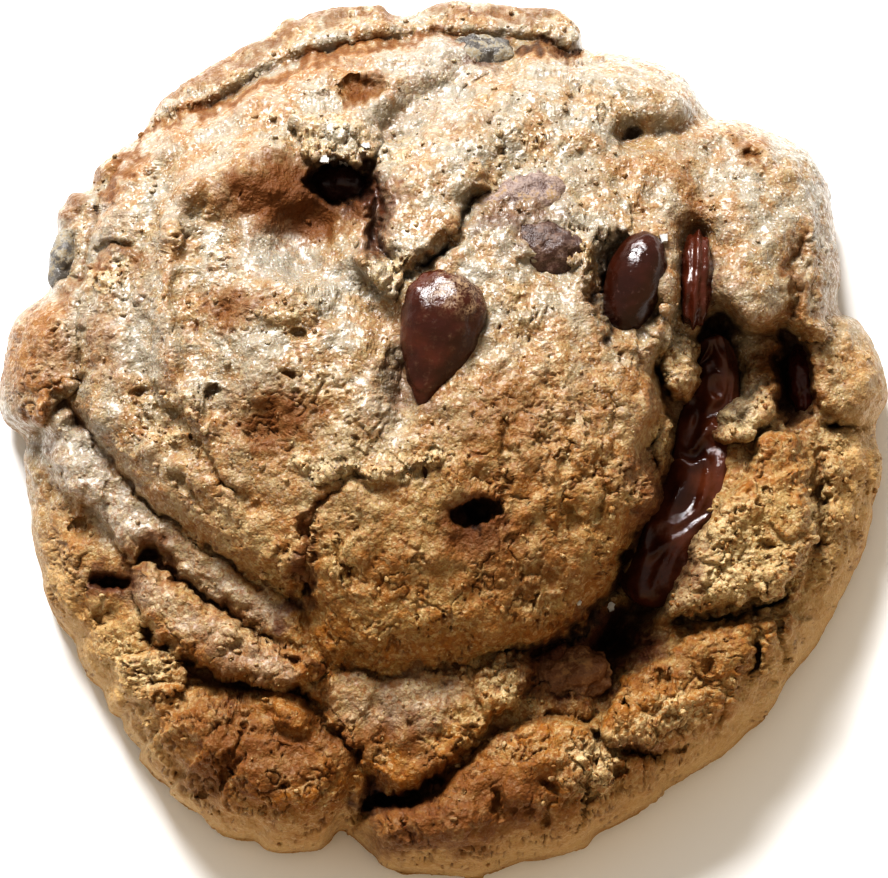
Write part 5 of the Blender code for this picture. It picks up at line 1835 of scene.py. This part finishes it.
@dataclass(frozen=True)
class MeltedChocolate:
    """The run of melted chocolate in its channel, folded into soft ridges."""

    finish: ChocolateFinish
    steps: int = 40
    sides: int = 72

    def build(self, noise: Noise) -> bpy.types.Object:
        """Build the run as a flattened tube with ridges along its flow.

        Args:
            noise: the noise that its ridges follow.

        Returns:
            The object.
        """
        path = Curves.smooth(MELT_PATH, False, self.steps)
        knots = np.linspace(0.0, 1.0, len(MELT_PATH))
        shares = np.linspace(0.0, 1.0, len(path))
        widths = np.interp(shares, knots, MELT_HALF_WIDTHS) * (1.0 + 0.10 * noise(path, 3.0))
        spine = seen_at(path, np.interp(shares, knots, MELT_LEVELS))
        ahead = np.gradient(spine, axis=0)
        ahead[:, 2] = 0.0
        ahead /= np.linalg.norm(ahead, axis=1)[:, None]
        across = np.column_stack([-ahead[:, 1], ahead[:, 0], np.zeros(len(ahead))])
        taper = np.sqrt(np.clip(1.0 - np.clip((0.05 - shares) / 0.05, 0, 1) ** 2, 0.02, 1)
                        * np.clip(1.0 - np.clip((shares - 0.95) / 0.05, 0, 1) ** 2, 0.02, 1))
        turn = np.linspace(0.0, 2 * math.pi, self.sides, endpoint=False)
        lift = np.array([0.0, 0.0, MELT_THICKNESS])
        cosines, sines = np.cos(turn)[None, :, None], np.sin(turn)[None, :, None]
        rings = (spine[:, None, :] + (widths * taper)[:, None, None] * cosines * across[:, None, :]
                 + taper[:, None, None] * sines * lift)
        points = rings.reshape(-1, 3)
        flow = np.repeat(shares * 34.0, self.sides)
        over = np.tile(np.cos(turn), len(path)) * np.repeat(widths, self.sides)
        lines = np.column_stack([over, flow * 0.42, np.zeros(len(over))])
        warp = noise(lines + 5.0, 3.0)
        ridge = 1.0 - np.abs(noise(lines + 1.6 * warp[:, None], 2.3)) * 2.4
        ridge = ridge + 0.25 * noise(lines + 1.2 * warp[:, None] + 30.0, 0.9)
        upper = np.tile(np.clip(np.sin(turn), 0.0, 1.0) ** 0.5, len(path))
        points = points + (0.55 * (ridge - 0.5) * upper)[:, None] * np.array([0.0, 0.0, 1.0])
        rows, count = len(path), self.sides
        k = np.arange(count)
        after = (k + 1) % count
        start = np.arange(rows - 1)[:, None] * count
        quads = np.stack([start + k, start + after, start + count + after, start + count + k],
                         axis=-1).reshape(-1, 4)
        points = np.vstack([points, points[:count].mean(axis=0), points[-count:].mean(axis=0)])
        first, last = rows * count, rows * count + 1
        end = (rows - 1) * count
        caps = np.concatenate([np.stack([np.full(count, first), after, k], axis=-1),
                               np.stack([end + k, end + after, np.full(count, last)], axis=-1)])
        return mesh_object("visual_melted_chocolate", points, [quads, caps], self.finish.make())


@dataclass(frozen=True)
class Studio:
    """The floor, the light and the camera."""

    floor_half: float = 0.6
    key_energy: float = 7.9
    near_glow: tuple = (1.0, 0.78, 0.50, 1.0)
    far_glow: tuple = (0.97, 0.99, 1.0, 1.0)
    near_strength: float = 0.60
    far_strength: float = 0.40
    bright_side: tuple = (-0.30, 0.80, 0.52)

    def floor(self) -> bpy.types.Object:
        """A plain pale floor.

        Returns:
            The object.
        """
        size = self.floor_half
        mesh = bpy.data.meshes.new("floor")
        mesh.from_pydata([(-size, -size, 0), (size, -size, 0), (size, size, 0), (-size, size, 0)], [],
                         [(0, 1, 2, 3)])
        shader = Shader("pale_floor")
        colour = shader.mix(shader.noise(60.0, 2.0), (0.90, 0.90, 0.90, 1.0), (0.92, 0.92, 0.92, 1.0))
        shader.set(Base_Color=colour)
        shader.surface.inputs["Roughness"].default_value = 0.9
        mesh.materials.append(shader.material)
        obj = bpy.data.objects.new("floor", mesh)
        bpy.context.scene.collection.objects.link(obj)
        return obj

    def light(self) -> None:
        """A soft key light from behind and a bright, even surround."""
        scene = bpy.context.scene
        world = bpy.data.worlds.new("surround")
        scene.world = world
        world.use_nodes = True
        nodes = Nodes(world.node_tree)
        coordinates = nodes.node("ShaderNodeTexCoord")
        along = nodes.node("ShaderNodeVectorMath", {"operation": "DOT_PRODUCT"},
                           {0: coordinates.outputs["Generated"], 1: self.bright_side})
        share = Value(nodes, along.outputs["Value"]).between(-0.5, 0.9)
        background = world.node_tree.nodes["Background"]
        nodes.feed(background.inputs["Color"], nodes.mix(share, self.near_glow, self.far_glow))
        nodes.feed(background.inputs["Strength"],
                   share * (self.far_strength - self.near_strength) + self.near_strength)
        lamp = bpy.data.lights.new("key", "AREA")
        lamp.size = 0.22
        lamp.energy = self.key_energy
        lamp.color = (0.98, 0.985, 1.0)
        key = bpy.data.objects.new("key", lamp)
        key.location = Vector((-0.15, 0.45, 0.46))
        key.rotation_euler = key.location.to_track_quat("Z", "Y").to_euler()
        scene.collection.objects.link(key)

    def camera(self) -> None:
        """The camera, over the cookie and a little in front of it."""
        data = bpy.data.cameras.new("camera")
        obj = bpy.data.objects.new("camera", data)
        place = Matrix((Vector((1, 0, 0)), Vector(EYE_UP), Vector(EYE_BACK))).transposed().to_4x4()
        place.translation = Vector((EYE_DISTANCE * EYE_BACK - OFFSET) * MM)
        obj.matrix_world = place
        data.sensor_width = 36.0
        data.lens = data.sensor_width * EYE_DISTANCE / PLAN_WIDTH
        data.clip_start = 0.01
        bpy.context.scene.collection.objects.link(obj)
        bpy.context.scene.camera = obj
        bpy.context.scene.view_settings.view_transform = "Standard"
        bpy.context.scene.view_settings.look = "High Contrast"


def dress(obj: bpy.types.Object, node: str) -> None:
    """Tie a piece to the body and hide the solid that it stands for.

    Args:
        obj: the piece.
        node: the solid's node.
    """
    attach(obj, "root")
    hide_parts(node)
    log.info("built %s for %s", obj.name, node)


def chocolate_chips() -> tuple:
    """Every chip, with its finish.

    Returns:
        The chips.
    """
    clean = ChocolateFinish("dark_chocolate", (0.044, 0.0095, 0.0035, 1.0), (0.075, 0.018, 0.008, 1.0),
                            dusted=0.1)
    low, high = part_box("chip_middle")
    top = tuple(float(0.5 * (a + b) + c) / MM for a, b, c in zip(low, high, (0.0016, 0.0038, 0.0020)))
    crumbed = ChocolateFinish("crumbed_chocolate", (0.038, 0.0085, 0.0035, 1.0), (0.072, 0.017, 0.007, 1.0),
                              (0.36, 0.25, 0.15, 1.0), dusted=0.16, dust_at=top, dust_reach=3.7,
                              roughness=0.16)
    black = ChocolateFinish("black_chocolate", (0.026, 0.0065, 0.003, 1.0), (0.044, 0.011, 0.005, 1.0),
                            dusted=0.05,
                            roughness=0.15, wobble=0.0004)
    dusty = ChocolateFinish("dusted_chocolate", (0.080, 0.043, 0.033, 1.0), (0.18, 0.122, 0.098, 1.0),
                            (0.34, 0.26, 0.22, 1.0), dusted=0.5, roughness=0.20, wobble=0.0006, smeared=0.82,
                            crust=(0.30, 0.20, 0.10, 1.0))
    dark_dusty = ChocolateFinish("dark_dusted_chocolate", (0.030, 0.011, 0.007, 1.0),
                                 (0.070, 0.034, 0.025, 1.0),
                                 (0.20, 0.13, 0.095, 1.0), dusted=0.4, roughness=0.20, wobble=0.0006,
                                 smeared=0.5, crust=(0.16, 0.09, 0.045, 1.0))
    bloomed = ChocolateFinish("bloomed_chocolate", (0.050, 0.041, 0.034, 1.0), (0.13, 0.120, 0.108, 1.0),
                              (0.26, 0.24, 0.20, 1.0), dusted=0.3, roughness=0.10, wobble=0.0008,
                              smeared=1.02, crust=(0.22, 0.17, 0.10, 1.0))
    red = ChocolateFinish("red_chocolate", (0.060, 0.010, 0.004, 1.0), (0.10, 0.020, 0.008, 1.0), dusted=0.1)
    caramel = ChocolateFinish("brown_chocolate", (0.095, 0.034, 0.009, 1.0), (0.17, 0.070, 0.022, 1.0),
                              (0.30, 0.17, 0.08, 1.0), dusted=0.4, roughness=0.30, wobble=0.0008,
                              smeared=0.75)
    return (
        ChocolateChip("chip_middle", (3.7, 6.6, 2.9), -12.0, crumbed, taper=0.50, tilt=6.0, lumps=0.06),
        ChocolateChip("chip_right", (2.8, 5.3, 2.9), -17.0, black, taper=0.10, tilt=8.0, lumps=0.04),
        ChocolateChip("chip_upper", (4.5, 2.6, 1.6), 20.0, dusty, lumps=0.18, sunk=0.55),
        ChocolateChip("chip_lower", (3.8, 2.4, 1.5), -8.0, dark_dusty, lumps=0.2, sunk=0.45),
        ChocolateChip("chip_back", (4.4, 2.8, 1.8), 10.0, bloomed, lumps=0.2, sunk=1.3),
        ChocolateChip("chip_back_left", (3.8, 2.0, 1.9), -12.0, black, lumps=0.2),
        ChocolateChip("chip_left_edge", (1.4, 3.2, 2.2), -6.0, bloomed, lumps=0.14, sunk=0.2),
        ChocolateChip("chip_right_hollow", (1.5, 4.0, 2.4), 0.0, red, lumps=0.2),
        ChocolateChip("chip_strip", (1.7, 5.0, 2.4), -4.0, clean, lumps=0.12, ribs=0.05),
        ChocolateChip("chip_front", (4.2, 2.7, 1.5), 6.0, caramel, lumps=0.28, sunk=0.1),
    )


def main() -> None:
    """Build the cookie and its studio."""
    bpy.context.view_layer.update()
    dough = Dough()
    for piece in dough.build():
        dress(piece, "dough")
    noise = dough.relief.noise
    surface = dough.surface
    upward = np.clip(surface.normals @ EYE_BACK, 0.0, 1.0)
    bare = 1.0 - np.clip(surface.carried[Tint.SMEAR.value] + surface.carried[Tint.DARK.value], 0.0, 1.0)
    pale = surface.carried[Tint.PALE.value]
    weights = upward * bare * (0.05 + 1.0 * pale + 0.9 * (surface.carried["pit"] > 0.5))
    crumbs = LooseCrumbs("loose_crumbs", count=1500, smallest=0.10, largest=0.38, seed=3)
    dress(crumbs.build(surface, weights, noise, dough.material), "dough")
    crystals = SugarCrystals(SugarFinish())
    dress(crystals.build(surface), "dough")
    for chip in chocolate_chips():
        dress(chip.build(noise), chip.node)
    flowing = ChocolateFinish("melted_chocolate", (0.046, 0.0115, 0.005, 1.0), (0.115, 0.034, 0.014, 1.0),
                              dusted=0.02, roughness=0.13, wobble=0.0005)
    dress(MeltedChocolate(flowing).build(noise), "melted_chocolate")
    studio = Studio()
    studio.floor()
    studio.light()
    studio.camera()


if __name__ == "__main__":
    main()
